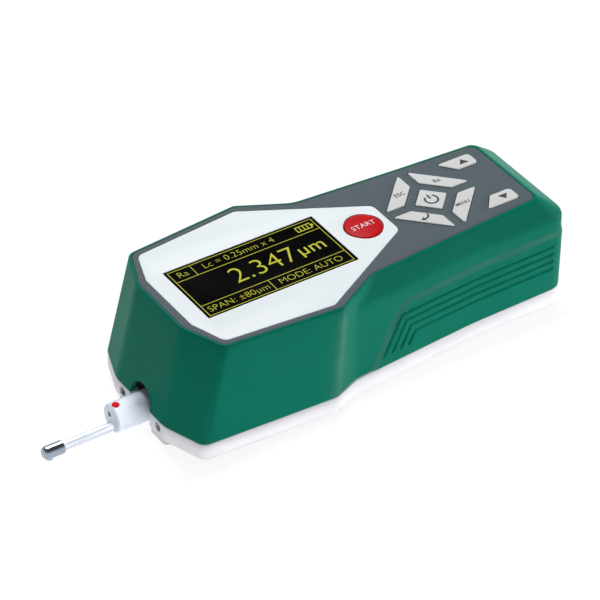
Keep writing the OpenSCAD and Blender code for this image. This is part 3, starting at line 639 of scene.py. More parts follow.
@dataclass(frozen=True)
class MouldedPlastic:
    """Injection-moulded plastic with a spark-eroded tool grain.

    The grain spreads each highlight into a soft band, the colour drifts a little along the flow,
    and a painted highlight turns sharp edges and the bands that a mesh marks paler. Real grain
    is some hundredths of a millimetre wide; it is drawn as coarse as it needs to show.
    """

    name: str
    colour: str
    drift: str
    # Pale colour of the painted highlight
    painted_highlight: str
    roughness: float
    gloss: float
    grain_mm: float
    grain_depth_mm: float
    ior: float = 1.53
    drift_mm: float = 45.0
    # Strength of the painted highlight on sharp edges, then on the bands that a mesh marks
    edge_highlight: float = 0.25
    band_highlight: float = 0.42
    # Pointiness over which the painted edge highlight comes in
    sharp: Row = (0.53, 0.62)
    dull: Row = (-0.04, 0.06)
    relief: float = 0.35

    def make(self) -> bpy.types.Material:
        """Builds the node tree.

        Returns:
            The finished material.
        """
        material, tree = new_tree(self.name)
        where = add(tree, "ShaderNodeTexCoord").outputs["Object"]
        flow = add(tree, "ShaderNodeTexNoise", None,
                   {"Vector": where, "Scale": per_metre(self.drift_mm), "Detail": 3.0, "Roughness": 0.5})
        tint = add(tree, "ShaderNodeMix", {"data_type": "RGBA"},
                   {FACTOR: flow.outputs["Fac"], COLOUR_A: linear(self.colour),
                    COLOUR_B: linear(self.drift)})
        # Painted highlight: sharp edges, found by pointiness, go towards the pale colour
        edge = add(tree, "ShaderNodeMapRange", None,
                   {VALUE: add(tree, "ShaderNodeNewGeometry").outputs["Pointiness"],
                    FROM_LOW: self.sharp[0], FROM_HIGH: self.sharp[1], TO_LOW: 0.0, TO_HIGH: self.edge_highlight})
        # Painted highlight bands that a mesh marks on its points, joined with the painted edge highlight
        highlight_bands = add(tree, "ShaderNodeAttribute", {"attribute_name": "painted_highlight"})
        band_highlight = add(tree, "ShaderNodeMath", {"operation": "MULTIPLY"},
                   {0: highlight_bands.outputs["Fac"], 1: self.band_highlight})
        both = add(tree, "ShaderNodeMath", {"operation": "MAXIMUM"},
                   {0: edge.outputs[0], 1: band_highlight.outputs[0]})
        # The painted highlight mixes the pale colour into the tinted colour
        highlighted = add(tree, "ShaderNodeMix", {"data_type": "RGBA"},
                   {FACTOR: both.outputs[0], COLOUR_A: tint.outputs[MIXED], COLOUR_B: linear(self.painted_highlight)})
        grain = add(tree, "ShaderNodeTexNoise", None,
                    {"Vector": where, "Scale": per_metre(self.grain_mm), "Detail": 2.0})
        rough = add(tree, "ShaderNodeMapRange", None,
                    {VALUE: grain.outputs["Fac"], FROM_LOW: NOISE_LOW, FROM_HIGH: NOISE_HIGH,
                     TO_LOW: self.roughness + self.dull[0], TO_HIGH: self.roughness + self.dull[1]})
        relief = add(tree, "ShaderNodeBump", None,
                     {"Strength": self.relief, "Distance": self.grain_depth_mm * MM,
                      "Height": grain.outputs["Fac"]})
        shader = add(tree, "ShaderNodeBsdfPrincipled", None,
                     {"Base Color": highlighted.outputs[MIXED], "Roughness": rough.outputs[0],
                      "Normal": relief.outputs[0], "IOR": self.ior, "Specular IOR Level": self.gloss})
        add(tree, "ShaderNodeOutputMaterial", None, {"Surface": shader.outputs[0]})
        return material


@dataclass(frozen=True)
class TurnedMetal:
    """Machined metal, left as cut or then blasted, plated or polished.

    Fine rings round the axis draw the highlight out along the part, and the roughness wanders a
    little where it was handled. The rings are drawn about six times as wide as the feed of the tool,
    as coarse as they need to show.
    """

    name: str
    colour: str
    roughness: float
    ring_mm: float
    ring_depth_mm: float
    drift: float = 0.05
    smear_mm: float = 3.0
    relief: float = 0.3
    least_roughness: float = 0.02

    def make(self) -> bpy.types.Material:
        """Builds the node tree.

        Returns:
            The finished material.
        """
        material, tree = new_tree(self.name)
        where = add(tree, "ShaderNodeTexCoord").outputs["Object"]
        rings = add(tree, "ShaderNodeTexWave", {"wave_type": "BANDS", "bands_direction": "X"},
                    {"Vector": where, "Scale": per_metre(self.ring_mm) / WAVE_TURN, "Distortion": 1.5,
                     "Detail": 2.0, "Detail Scale": 4.0})
        smear = add(tree, "ShaderNodeTexNoise", None,
                    {"Vector": where, "Scale": per_metre(self.smear_mm), "Detail": 4.0})
        rough = add(tree, "ShaderNodeMapRange", None,
                    {VALUE: smear.outputs["Fac"], FROM_LOW: NOISE_LOW, FROM_HIGH: NOISE_HIGH,
                     TO_LOW: max(self.least_roughness, self.roughness - self.drift),
                     TO_HIGH: self.roughness + self.drift})
        relief = add(tree, "ShaderNodeBump", None,
                     {"Strength": self.relief, "Distance": self.ring_depth_mm * MM,
                      "Height": rings.outputs["Fac"]})
        shader = add(tree, "ShaderNodeBsdfPrincipled", None,
                     {"Base Color": linear(self.colour), "Metallic": 1.0, "Roughness": rough.outputs[0],
                      "Normal": relief.outputs[0]})
        add(tree, "ShaderNodeOutputMaterial", None, {"Surface": shader.outputs[0]})
        return material


@dataclass(frozen=True)
class TintedAcrylic:
    """Polished acrylic over a dark display: near black, with faint reflections and smears."""

    name: str
    colour: str
    roughness: float
    gloss: float
    smear_mm: float = 12.0
    ior: float = 1.49
    smear_range: Row = (0.35, 0.75)
    smear_dull: float = 0.08

    def make(self) -> bpy.types.Material:
        """Builds the node tree.

        Returns:
            The finished material.
        """
        material, tree = new_tree(self.name)
        where = add(tree, "ShaderNodeTexCoord").outputs["Object"]
        smear = add(tree, "ShaderNodeTexNoise", None,
                    {"Vector": where, "Scale": per_metre(self.smear_mm), "Detail": 5.0})
        rough = add(tree, "ShaderNodeMapRange", None,
                    {VALUE: smear.outputs["Fac"],
                     FROM_LOW: self.smear_range[0], FROM_HIGH: self.smear_range[1],
                     TO_LOW: self.roughness, TO_HIGH: self.roughness + self.smear_dull})
        shader = add(tree, "ShaderNodeBsdfPrincipled", None,
                     {"Base Color": linear(self.colour), "Roughness": rough.outputs[0], "IOR": self.ior,
                      "Specular IOR Level": self.gloss})
        add(tree, "ShaderNodeOutputMaterial", None, {"Surface": shader.outputs[0]})
        return material


@dataclass(frozen=True)
class LitPixels:
    """Lit dots of a small matrix display: each dot glows, with a thin darker line to the next."""

    name: str
    colour: str
    strength: float
    pitch_mm: float
    dark: float = 0.75
    line_share: float = 0.08

    def make(self) -> bpy.types.Material:
        """Builds the node tree.

        Returns:
            The finished material.
        """
        material, tree = new_tree(self.name)
        where = add(tree, "ShaderNodeTexCoord").outputs["Object"]
        dots = add(tree, "ShaderNodeTexBrick", {"offset": 0.0, "squash": 1.0},
                   {"Vector": where, "Color1": linear(self.colour), "Color2": linear(self.colour),
                    "Mortar": tuple(c * self.dark for c in linear(self.colour)),
                    "Scale": per_metre(self.pitch_mm), "Mortar Size": self.line_share, "Brick Width": 1.0,
                    "Row Height": 1.0})
        glow = add(tree, "ShaderNodeEmission", None,
                   {"Color": dots.outputs["Color"], "Strength": self.strength})
        add(tree, "ShaderNodeOutputMaterial", None, {"Surface": glow.outputs[0]})
        return material


@dataclass(frozen=True)
class PrintedInk:
    """Screen-printed ink: flat colour with slight pinholes and a dull, dry surface.

    Real pinholes are finer; they are drawn as coarse as they need to show.
    """

    name: str
    colour: str
    thin: str
    roughness: float = 0.6
    speckle_mm: float = 0.35
    pinholes: Row = (0.6, 0.8)
    show_through: float = 0.5

    def make(self) -> bpy.types.Material:
        """Builds the node tree.

        Returns:
            The finished material.
        """
        material, tree = new_tree(self.name)
        where = add(tree, "ShaderNodeTexCoord").outputs["Object"]
        speckle = add(tree, "ShaderNodeTexNoise", None,
                      {"Vector": where, "Scale": per_metre(self.speckle_mm), "Detail": 2.0})
        cover = add(tree, "ShaderNodeMapRange", None,
                    {VALUE: speckle.outputs["Fac"], FROM_LOW: self.pinholes[0], FROM_HIGH: self.pinholes[1],
                     TO_LOW: 0.0, TO_HIGH: self.show_through})
        tint = add(tree, "ShaderNodeMix", {"data_type": "RGBA"},
                   {FACTOR: cover.outputs[0], COLOUR_A: linear(self.colour), COLOUR_B: linear(self.thin)})
        shader = add(tree, "ShaderNodeBsdfPrincipled", None,
                     {"Base Color": tint.outputs[MIXED], "Roughness": self.roughness})
        add(tree, "ShaderNodeOutputMaterial", None, {"Surface": shader.outputs[0]})
        return material


class Finishes:
    """Every finish of the part, made once."""

    def __init__(self) -> None:
        """Makes the materials."""
        # The third colour of each moulded plastic is a painted highlight for sharp edges and marked bands; a
        # share of zero leaves it out
        # ABS with a fine spark grain: deep green with soft highlights, and a painted pale highlight on its
        # edges and bands
        self.housing = MouldedPlastic(
            "abs_spark_grain_green", "#007D66", "#007762", "#5E9484",
            roughness=0.42, gloss=0.04, grain_mm=0.5, grain_depth_mm=0.02).make()
        # ABS in a smoother tool: clean cool white that shades to blue grey
        self.base = MouldedPlastic(
            "abs_satin_white", "#F5F4F9", "#F2F1F7", "#F8F8FA",
            roughness=0.45, gloss=0.3, grain_mm=0.6, grain_depth_mm=0.008, edge_highlight=0.0).make()
        # Screen-printed polycarbonate overlay: flat slate grey with a velvet grain
        self.plate = MouldedPlastic(
            "polycarbonate_velvet_slate", "#536067", "#505D64", "#66737A",
            roughness=0.55, gloss=0.15, grain_mm=0.4, grain_depth_mm=0.008, ior=1.58, edge_highlight=0.0).make()
        # Gloss polycarbonate overlay: bright, slightly cool white
        self.bezel = MouldedPlastic(
            "polycarbonate_gloss_white", "#F3FBFF", "#F0F8FD", "#F6FCFF",
            roughness=0.35, gloss=0.25, grain_mm=0.9, grain_depth_mm=0.002, ior=1.58, edge_highlight=0.0).make()
        # Moulded key caps with a dull paint: light, neutral grey
        self.key = MouldedPlastic(
            "abs_painted_light_grey", "#DCDEDE", "#D8DADA", "#EDEEEE",
            roughness=0.45, gloss=0.25, grain_mm=0.4, grain_depth_mm=0.004, edge_highlight=0.0).make()
        # Gloss moulded button: clear signal red with a weak, soft sheen
        self.start = MouldedPlastic(
            "abs_gloss_signal_red", "#D0121C", "#C81019", "#E45058",
            roughness=0.3, gloss=0.06, grain_mm=0.6, grain_depth_mm=0.002, edge_highlight=0.0).make()
        # Acrylic window, polished: near black, with faint pale reflections
        self.window = TintedAcrylic("acrylic_polished_black", "#040504", roughness=0.12, gloss=0.02).make()
        # Lit dots at the pitch of a 128 column display: yellow lines that are dotted close by
        self.pixels = LitPixels("oled_lit_dots_yellow", "#CACA48", strength=1.0, pitch_mm=0.45).make()
        # Printed signs of the keys: dry near black with paler pinholes
        self.dark_ink = PrintedInk("ink_printed_black", "#26282B", "#55585C").make()
        # Printed word of the button: dry white with a little red in its pinholes
        self.white_ink = PrintedInk("ink_printed_white", "#F2EFEF", "#E9C9CB").make()
        # Aluminium, turned, blasted and clear anodised: pale, with a broad soft highlight
        self.satin = TurnedMetal(
            "aluminium_blasted_anodised", "#D6DBE5",
            roughness=0.74, ring_mm=0.25, ring_depth_mm=0.0002).make()
        # Stainless steel tube, glass blasted: pale, with a long even highlight
        self.blasted = TurnedMetal(
            "stainless_steel_blasted", "#C6CCD6",
            roughness=0.46, ring_mm=0.2, ring_depth_mm=0.00002).make()
        # Chromed steel, polished: sharp bright and dark bands
        self.chrome = TurnedMetal(
            "steel_chromed_polished", "#9CA7B6",
            roughness=0.14, ring_mm=0.3, ring_depth_mm=0.00002, drift=0.03).make()
        # Enamel let into the pickup: deep red spot with hardly any shine
        self.dot = MouldedPlastic(
            "enamel_red", "#B4000A", "#AC0009", "#C01C24",
            roughness=0.3, gloss=0.03, grain_mm=0.5, grain_depth_mm=0.002).make()
        # Inner pieces are seen only through the front opening and the slot.
        # Circuit board under solder mask: dark green with a wet shine
        self.board = MouldedPlastic(
            "glass_epoxy_solder_mask", "#14562E", "#1A6538", "#2E7A4C",
            roughness=0.35, gloss=0.5, grain_mm=1.2, grain_depth_mm=0.03, drift_mm=6.0).make()
        # Nylon, moulded: dull black
        self.black = MouldedPlastic(
            "nylon_moulded_black", "#24262A", "#1E2023", "#3A3D41",
            roughness=0.55, gloss=0.35, grain_mm=0.5, grain_depth_mm=0.03).make()
        # Sleeve shrunk over the cells: plain blue with the shine of film
        self.sleeve = MouldedPlastic(
            "shrink_sleeve_blue", "#2A5AA6", "#245098", "#4A78BE",
            roughness=0.3, gloss=0.5, grain_mm=2.0, grain_depth_mm=0.05).make()
        # Acetal, machined: waxy ivory
        self.ivory = MouldedPlastic(
            "acetal_machined_ivory", "#D6D0BE", "#CCC6B4", "#E4DFD0",
            roughness=0.4, gloss=0.4, grain_mm=0.5, grain_depth_mm=0.02).make()
        # Aluminium, milled: mid grey with fine cutter lines
        self.milled = TurnedMetal(
            "aluminium_milled", "#A9ADB2",
            roughness=0.42, ring_mm=0.5, ring_depth_mm=0.01).make()
        # Steel, zinc plated: cool grey with a blurred shine
        self.plated = TurnedMetal(
            "steel_zinc_plated", "#B4B7BC",
            roughness=0.32, ring_mm=0.4, ring_depth_mm=0.006).make()
        # Free-cutting steel, tapped: the thread crests glint inside the dark holes
        self.tapped = TurnedMetal(
            "steel_tapped", "#9A9EA4",
            roughness=0.3, ring_mm=0.5, ring_depth_mm=0.002).make()
        # Bronze, sintered: dull gold
        self.bronze = TurnedMetal(
            "bronze_sintered", "#B08A4A",
            roughness=0.45, ring_mm=0.5, ring_depth_mm=0.01).make()


def fitted(piece: bpy.types.Object, finish: bpy.types.Material, body: Body, slot: Slot, *nodes: str) -> None:
    """Gives a new piece its finish and body, and hides the CAD nodes that it stands for.

    Args:
        piece: The new piece.
        finish: Its material.
        body: Body that it rides on.
        slot: Material slot of the record; not used.
        nodes: CAD nodes that it replaces.
    """
    piece.data.materials.clear()
    piece.data.materials.append(finish)
    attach(piece, body.value)
    if nodes:
        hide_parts(*nodes)
    log.info("%s: %d faces, on %s", piece.name, len(piece.data.polygons), body.value)


def dressed(node: str, finish: bpy.types.Material) -> None:
    """Gives a CAD node its finish and leaves its shape alone."""
    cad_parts[node].material_slots[0].material = finish
    log.info("%s: CAD shape kept", node)


def level(node: str, end: End) -> float:
    """Returns the height of a CAD node's underside or top in millimetres."""
    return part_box(node)[end.value].z / MM


# Sub-assemblies

@dataclass
class CaseLines:
    """Outlines and levels that the case's mouldings share.

    Corner lists run from front to rear and hold place, half width and rounding.
    """

    nose_w: float = 31.0
    shoulder_w: float = 62.8
    head_w: float = 68.2
    cheek_run: float = 5.8
    head_len: float = 57.7
    waist_run: float = 10.5
    waist_in: float = 4.2
    bend_at: float = 120.2
    grip_mid: float = 26.05
    grip_rear: float = 25.45
    pad_h: float = 0.75
    front_lean: float = 7.9
    shoulder_h: float = 7.2
    rear_run: float = 9.35
    rim_w: float = 1.0
    wall: float = 2.0
    deck_t: float = 2.0
    seam_rounding: tuple[float, ...] = (12.0, 4.0, 7.0, 12.0, 200.0, 6.5)
    rim_rounding: tuple[float, ...] = (10.0, 3.5, 3.0, 14.0, 150.0, 3.0)
    rim_nose_in: float = 1.6
    rim_cheek_back: float = 0.9
    rim_cheek_in: float = 1.2
    rim_head_back: float = 1.7
    rim_head_out: float = 0.1
    rim_waist_back: float = 9.6
    rim_waist_half: float = 24.5
    rim_bend_ahead: float = 1.8
    rim_bend_half: float = 21.6
    rim_rear_half: float = 19.61
    front: float = field(init=False)
    rear: float = field(init=False)
    seam: float = field(init=False)
    top: float = field(init=False)
    crease: float = field(init=False)
    seam_line: Line = field(init=False)
    wall_line: Line = field(init=False)
    rim_line: Line = field(init=False)
    crease_line: Line = field(init=False)

    def __post_init__(self) -> None:
        """Takes the ends and levels from the frame and lays out the corner lists."""
        low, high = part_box("base_tray")
        self.front, self.rear = low.x / MM, high.x / MM
        self.seam, self.top = level("top_housing", End.LOW), level("top_housing", End.HIGH)
        self.crease = self.top - self.shoulder_h
        length = self.rear - self.front
        waist = self.head_len + self.waist_run
        seam = [
            (0.0, self.nose_w / 2),
            (self.cheek_run, self.shoulder_w / 2),
            (self.head_len, self.head_w / 2),
            (waist, self.head_w / 2 - self.waist_in),
            (self.bend_at, self.grip_mid),
            (length, self.grip_rear)]
        rim = [
            (self.front_lean, self.nose_w / 2 - self.rim_nose_in),
            (self.cheek_run + self.front_lean + self.rim_cheek_back,
             self.shoulder_w / 2 - self.rim_cheek_in),
            (self.head_len + self.rim_head_back, self.head_w / 2 + self.rim_head_out),
            (waist + self.rim_waist_back, self.rim_waist_half),
            (self.bend_at - self.rim_bend_ahead, self.rim_bend_half),
            (length - self.rear_run, self.rim_rear_half)]
        self.seam_line = self.shifted((*place, r) for place, r in zip(seam, self.seam_rounding))
        self.rim_line = self.shifted((*place, r) for place, r in zip(rim, self.rim_rounding))
        # The pad's height is kept free from the waist to the rear; the head leans from the seam on
        self.wall_line = self.seam_line - np.array([(0, 0, 0)] * 3 + [(0, self.pad_h, 0)] * 3)
        share = (self.crease - self.seam) / (self.top - self.seam)
        leaning = between(self.wall_line, self.rim_line, share)
        self.crease_line = np.vstack([leaning[:3], self.wall_line[3:]])

    def shifted(self, corners: Iterable[Sequence[float]]) -> Line:
        """Returns corners counted from the case front, moved into the part's frame."""
        return np.array(list(corners), float) + (self.front, 0, 0)


@dataclass
class UpperHousing:
    """Green upper moulding: leaning head, upright grip, sloped shoulder and grooved pad.

    The skin is a grid: columns stand round the case, close together at the pad's details, and
    rings lie on top of each other from the seam over the rim and back down inside.
    """

    lines: CaseLines
    pad_top: float = 34.2
    pad_foot: float = 74.3
    pad_lean: float = math.radians(26)
    pad_corner_r: float = 6.0
    pad_slope: float = 3.0
    groove_first: float = 28.1
    groove_pitch: float = 3.2
    groove_count: int = 4
    groove_leg_foot: float = 13.7
    groove_start: float = 87.2
    groove_shift: float = 2.048
    groove_end: float = 7.1
    groove_half: float = 0.85
    groove_depth: float = 0.6
    seam_round: float = 0.3
    rim_round: float = 0.6
    bend_below: float = 1.8
    bend_above: float = 1.2
    plate_gap: float = 0.15
    ledge_w: float = 3.2
    slope_walls: float = 1.4
    crease_walls: float = 0.75
    arch_r: float = 6.4
    arch_mid: float = 9.6
    arch_depth: float = 7.0
    socket_gap: float = 0.3
    socket_r: float = 1.2
    # Columns lean with the pad's front edge from a little ahead of its foot, and less towards the rear
    lean_ahead: float = 4.0
    lean_run: float = 3.2
    lean_stop: float = 3.0
    lean_fade: float = 50.0
    # Columns of each stretch between the outline's marks; the grip stretch has its own
    even_columns: tuple[int, ...] = (10, 10, 9, 8, 26, 8, 7, 8, 0, 10, 12)
    grip_stretch: int = 8
    column_step: float = 1.6
    level_step: float = 1.5
    slope_step: float = 0.25
    groove_step: float = 0.16
    end_step: float = 0.2
    least_step: float = 0.09
    # Painted highlight bands: width at the waist, strength at the rear, and where the pad's band fades out
    corner_highlight_w: float = 2.4
    corner_lean: float = 0.06
    corner_fade: float = 5.0
    rear_highlight: float = 1.5
    band_stop: float = 1.5
    band_fade: float = 3.5
    groove_run_end: float = field(init=False)

    def legs(self) -> np.ndarray:
        """Works out where the groove legs would meet the seam.

        Returns:
            Distance of each leg behind the pad's foot.
        """
        index = np.arange(self.groove_count)
        drop = self.groove_first - index * self.groove_pitch - self.lines.seam
        return self.groove_start + index * self.groove_shift - drop * math.tan(self.pad_lean) - self.pad_foot

    def columns(self, seam: HalfOutline) -> tuple[np.ndarray, np.ndarray, np.ndarray]:
        """Chooses where the grid lines stand round the case.

        Args:
            seam: Half outline at the seam.

        Returns:
            The stretch that each column is in, its share of that stretch, and its distance behind
            the foot of the pad.
        """
        grip, beside, lead, margin, past_slope = self.grip_stretch, 0.15, 0.4, 0.05, 1.3
        foot = seam.run_at(self.lines.front + self.pad_foot)
        end = seam.run_at(self.lines.rear - self.groove_end) - foot
        start, stop = seam.marks[grip], seam.marks[grip + 1]
        wide = self.groove_half + beside
        dense = [np.arange(start - foot, stop - foot, self.column_step),
                 np.arange(-lead, past_slope * self.pad_slope, self.slope_step)]
        dense += [np.arange(leg - wide, leg + wide, self.groove_step) for leg in self.legs()]
        dense.append(np.arange(end - lead, end + wide, self.end_step))
        behind = np.unique(np.round(np.concatenate(dense), 3))
        behind = behind[(behind > start - foot + margin) & (behind < stop - foot - margin)]
        kept = thinned(float(start - foot), behind, self.least_step)
        stretch: list[int] = []
        share: list[float] = []
        pad: list[float] = []
        for index, count in enumerate(self.even_columns):
            if index == grip:
                stretch += [grip] * len(kept)
                share += [(value + foot - start) / (stop - start) for value in kept]
                pad += kept
            else:
                stretch += [index] * count
                share += [k / count for k in range(count)]
                pad += [-FAR if index < grip else FAR] * count
        last = len(self.even_columns) - 1
        return np.array(stretch + [last]), np.array(share + [1.0]), np.array(pad + [FAR])

    def heights(self) -> np.ndarray:
        """Chooses the levels of the upright wall, close together at the pad's details.

        Returns:
            The levels from the seam up.
        """
        beside, above_pad, above_foot, margin = 0.1, 0.3, 0.4, 0.1
        low, high = self.lines.seam + self.seam_round, self.lines.crease - self.bend_below
        runs = self.groove_first - np.arange(self.groove_count) * self.groove_pitch
        wide = self.groove_half + beside
        dense = [np.arange(low, high, self.level_step),
                 np.arange(self.pad_top - self.pad_slope, self.pad_top + above_pad, self.slope_step)]
        dense += [np.arange(z - wide, z + wide, self.groove_step) for z in runs]
        leg_foot = self.groove_leg_foot
        dense.append(np.arange(leg_foot - wide, leg_foot + above_foot, self.groove_step))
        every = np.unique(np.round(np.concatenate(dense), 3))
        return np.array(thinned(low, every[(every > low) & (every < high - margin)], self.least_step))

    def climb(self, pad: np.ndarray, height: np.ndarray | float) -> np.ndarray:
        """Works out how much of the slope at the pad's edge is climbed.

        Args:
            pad: Distance behind the pad's foot.
            height: Level above the resting plane.

        Returns:
            Share of the slope, from zero outside the pad to one on it.
        """
        ahead = self.pad_corner_r - pad * math.cos(self.pad_lean)
        above = self.pad_corner_r - self.pad_top + height
        out = np.where((ahead > 0) & (above > 0), np.hypot(ahead, above), np.maximum(ahead, above))
        return np.clip((self.pad_corner_r - out) / self.pad_slope, 0, 1)

    def relief(self, pad: np.ndarray, height: float, facing: np.ndarray) -> np.ndarray:
        """Works out how far the pad stands out of the wall, less its grooves.

        Args:
            pad: Distance of each column behind the pad's foot.
            height: Level above the resting plane.
            facing: How far each column faces sideways; the pad runs out round the rear corners.

        Returns:
            Distance out of the wall at each column.
        """
        slant = math.cos(self.pad_lean)
        raised = self.lines.pad_h * facing * (0.5 - 0.5 * np.cos(math.pi * self.climb(pad, height)))
        end = self.groove_run_end
        sunk = np.zeros_like(pad)
        for index, leg in enumerate(self.legs()):
            level_run = self.groove_first - index * self.groove_pitch
            to_run = np.hypot(np.maximum(np.maximum(leg - pad, pad - end), 0) * slant, height - level_run)
            below = max(self.groove_leg_foot - height, height - level_run, 0.0)
            to_leg = np.hypot((pad - leg) * slant, below)
            share = np.clip(np.minimum(to_run, to_leg) / self.groove_half, 0, 1)
            sunk = np.maximum(sunk, self.groove_depth * (1 - share ** 2) ** 1.5)
        return raised - sunk

    def build(self) -> bpy.types.Object:
        """Builds the shell as one closed skin and cuts its two openings.

        Returns:
            The housing.
        """
        lines = self.lines
        seam = HalfOutline(lines.wall_line)
        stretch, share, pad = self.columns(seam)
        foot = seam.run_at(lines.front + self.pad_foot)
        self.groove_run_end = seam.run_at(lines.rear - self.groove_end) - foot
        lean_in = np.clip((pad + self.lean_ahead) / self.lean_run, 0, 1)
        lean_out = np.clip((self.groove_run_end - self.lean_stop - pad) / self.lean_fade, 0, 1)
        leaning = np.where(np.abs(pad) < FAR / 2, lean_in * lean_out, 0.0) * math.tan(self.pad_lean)

        def ring(line: Line, height: float, relief: bool = False) -> np.ndarray:
            """Lays one ring of the skin.

            Args:
                line: Half outline's corners at this level.
                height: The level.
                relief: True where the ring carries the pad.

            Returns:
                Points of the ring, round both sides of the case.
            """
            outline = HalfOutline(line)
            run = between(outline.marks[stretch], outline.marks[stretch + 1], share)
            run = run + leaning * (min(max(height, lines.seam), self.pad_top) - lines.seam)
            half = outline.place(run)
            if relief:
                out = outline.outward(run)
                half = half + out * self.relief(pad, height, np.clip(out[:, 1], 0, 1))[:, None]
            return at_level(np.vstack([half, half[-2:0:-1] * (1, -1)]), height)

        tall = lines.crease - lines.seam
        low = between(lines.wall_line, lines.crease_line, 1 - self.bend_below / tall)
        high = between(lines.crease_line, lines.rim_line, self.bend_above / lines.shoulder_h)
        lip = between(lines.crease_line, lines.rim_line, 1 - self.rim_round / lines.shoulder_h)
        crown = offset_half(lines.rim_line, -self.rim_round)
        z_plate = level("face_plate", End.LOW)
        z_deck = z_plate - lines.deck_t
        rings = []
        seam_rings, bend_rings, rim_rings = 4, 11, 7
        # Rounded lower edge, upright wall, bend at the crease and rounded rim
        for t in np.linspace(0, math.pi / 2, seam_rings)[:-1]:
            inset = self.seam_round * (1 - math.sin(t))
            height = lines.seam + self.seam_round * (1 - math.cos(t))
            rings.append(ring(offset_half(lines.wall_line, -inset), height, relief=True))
        for height in self.heights():
            t = (height - lines.seam) / tall
            rings.append(ring(between(lines.wall_line, lines.crease_line, t), height, relief=True))
        for t in np.linspace(0, 1, bend_rings):
            height = bend(lines.crease - self.bend_below, lines.crease, lines.crease + self.bend_above, t)
            rings.append(ring(bend(low, lines.crease_line, high, t), float(height)))
        for t in np.linspace(0, 1, rim_rings):
            height = bend(lines.top - self.rim_round, lines.top, lines.top, t)
            rings.append(ring(bend(lip, lines.rim_line, crown, t), float(height)))
        # Seat of the face plate, deck below it and the inner wall
        inner_rim = offset_half(lines.rim_line, -lines.rim_w + self.plate_gap)
        ledge = offset_half(lines.rim_line, -self.ledge_w)
        slope = between(lines.crease_line, lines.rim_line, (z_deck - lines.crease) / lines.shoulder_h)
        inside = [
            (inner_rim, lines.top), (inner_rim, z_plate), (ledge, z_plate), (ledge, z_deck),
            (offset_half(slope, -self.slope_walls * lines.wall), z_deck),
            (offset_half(lines.crease_line, -lines.wall), lines.crease - self.crease_walls * lines.wall),
            (offset_half(lines.wall_line, -lines.wall), lines.seam)]
        rings += [ring(line, height) for line, height in inside]
        shell = lofted("housing_shell", rings, tube=True)
        joined(shell, self.arch_tool(), Join.CUT)
        joined(shell, self.socket_tool(), Join.CUT)
        # Painted highlight bands on the pad's edge, the waist corner and the rear slope
        self.paint_highlight_bands(shell, foot)
        return shell

    def paint_highlight_bands(self, shell: bpy.types.Object, foot: float) -> None:
        """Paints pale highlight bands onto the shell: the pad's edge, the corners of the waist and the rear
        slope.

        Args:
            shell: The finished shell, which gets a value for each of its points.
            foot: Distance of the pad's foot along the seam.
        """
        lines, skin, soft, middle_share, far_reach = self.lines, 1.2, 2.0, 0.6, 50
        places = np.empty(3 * len(shell.data.vertices))
        shell.data.vertices.foreach_get("co", places)
        x, y, z = (places / MM).reshape(-1, 3).T
        seam = HalfOutline(lines.wall_line)
        along, half = seam.points[1:-1].T
        run = np.interp(x, along, seam.run[1:-1])
        pad = run - foot - (np.minimum(z, self.pad_top) - lines.seam) * math.tan(self.pad_lean)
        climb = self.climb(np.where(run > seam.marks[self.grip_stretch - 1], pad, -FAR), z)
        band = np.sin(math.pi * climb) * np.clip((lines.rear - self.band_stop - x) / self.band_fade, 0, 1)
        # Middle of the arc at the head's rear corner
        head_corner = (seam.marks[5] + seam.marks[6]) / 2
        beside = run - head_corner - self.corner_lean * (z - lines.seam)
        waist = np.exp(-(beside / self.corner_highlight_w) ** 2) * np.clip((lines.top - z) / self.corner_fade, 0, 1)
        outside = np.abs(y) > np.interp(x, along, half) - skin
        slope = np.clip((x - lines.rear + lines.rear_run) / soft, 0, 1)
        slope = slope * np.clip((z - lines.crease) / soft, 0, 1)
        # The painted highlight is strongest on the far half of the rear slope
        rear = self.rear_highlight * slope * np.clip(middle_share + y / far_reach, 0, 1)
        # Each point gets the strength of its painted highlight
        layer = shell.data.attributes.new("painted_highlight", "FLOAT", "POINT")
        value = np.maximum(np.where(outside, np.maximum(band, waist), 0.0), rear)
        layer.data.foreach_set("value", value.astype(np.float32))

    def arch_tool(self) -> bpy.types.Object:
        """Makes the solid that cuts the round-topped pickup opening out of the front.

        Returns:
            The tool.
        """
        angles = np.linspace(0, math.pi, 33)
        foot = self.lines.seam - CUT_PAST
        arc = [(-self.arch_r * math.cos(a), self.arch_mid + self.arch_r * math.sin(a)) for a in angles]
        outline = [(-self.arch_r, foot)] + arc + [(self.arch_r, foot)]
        ends = self.lines.front - CUT_PAST, self.lines.front + self.arch_depth
        return lofted("arch_tool", [np.array([(x, y, z) for y, z in outline]) for x in ends], tube=False)

    def socket_tool(self) -> bpy.types.Object:
        """Makes the solid that cuts the charging opening out of the rear wall.

        Returns:
            The tool.
        """
        low, high = (np.array(corner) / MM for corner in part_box("charge_socket"))
        (_, y0, z0), (_, y1, z1) = low - self.socket_gap, high + self.socket_gap
        r, ahead = self.socket_r, 1
        points = rounded(np.array([(y0, z0, r), (y0, z1, r), (y1, z1, r), (y1, z0, r)]), steps=8)
        ends = high[0] - ahead, self.lines.rear + CUT_PAST
        rings = [np.hstack([np.full((len(points), 1), x), points]) for x in ends]
        return lofted("socket_tool", rings, tube=False)

    def dress(self, finishes: Finishes) -> None:
        """Builds the housing and gives it its finish."""
        fitted(self.build(), finishes.housing, Body.HOUSING, Slot.HOUSING, "top_housing")


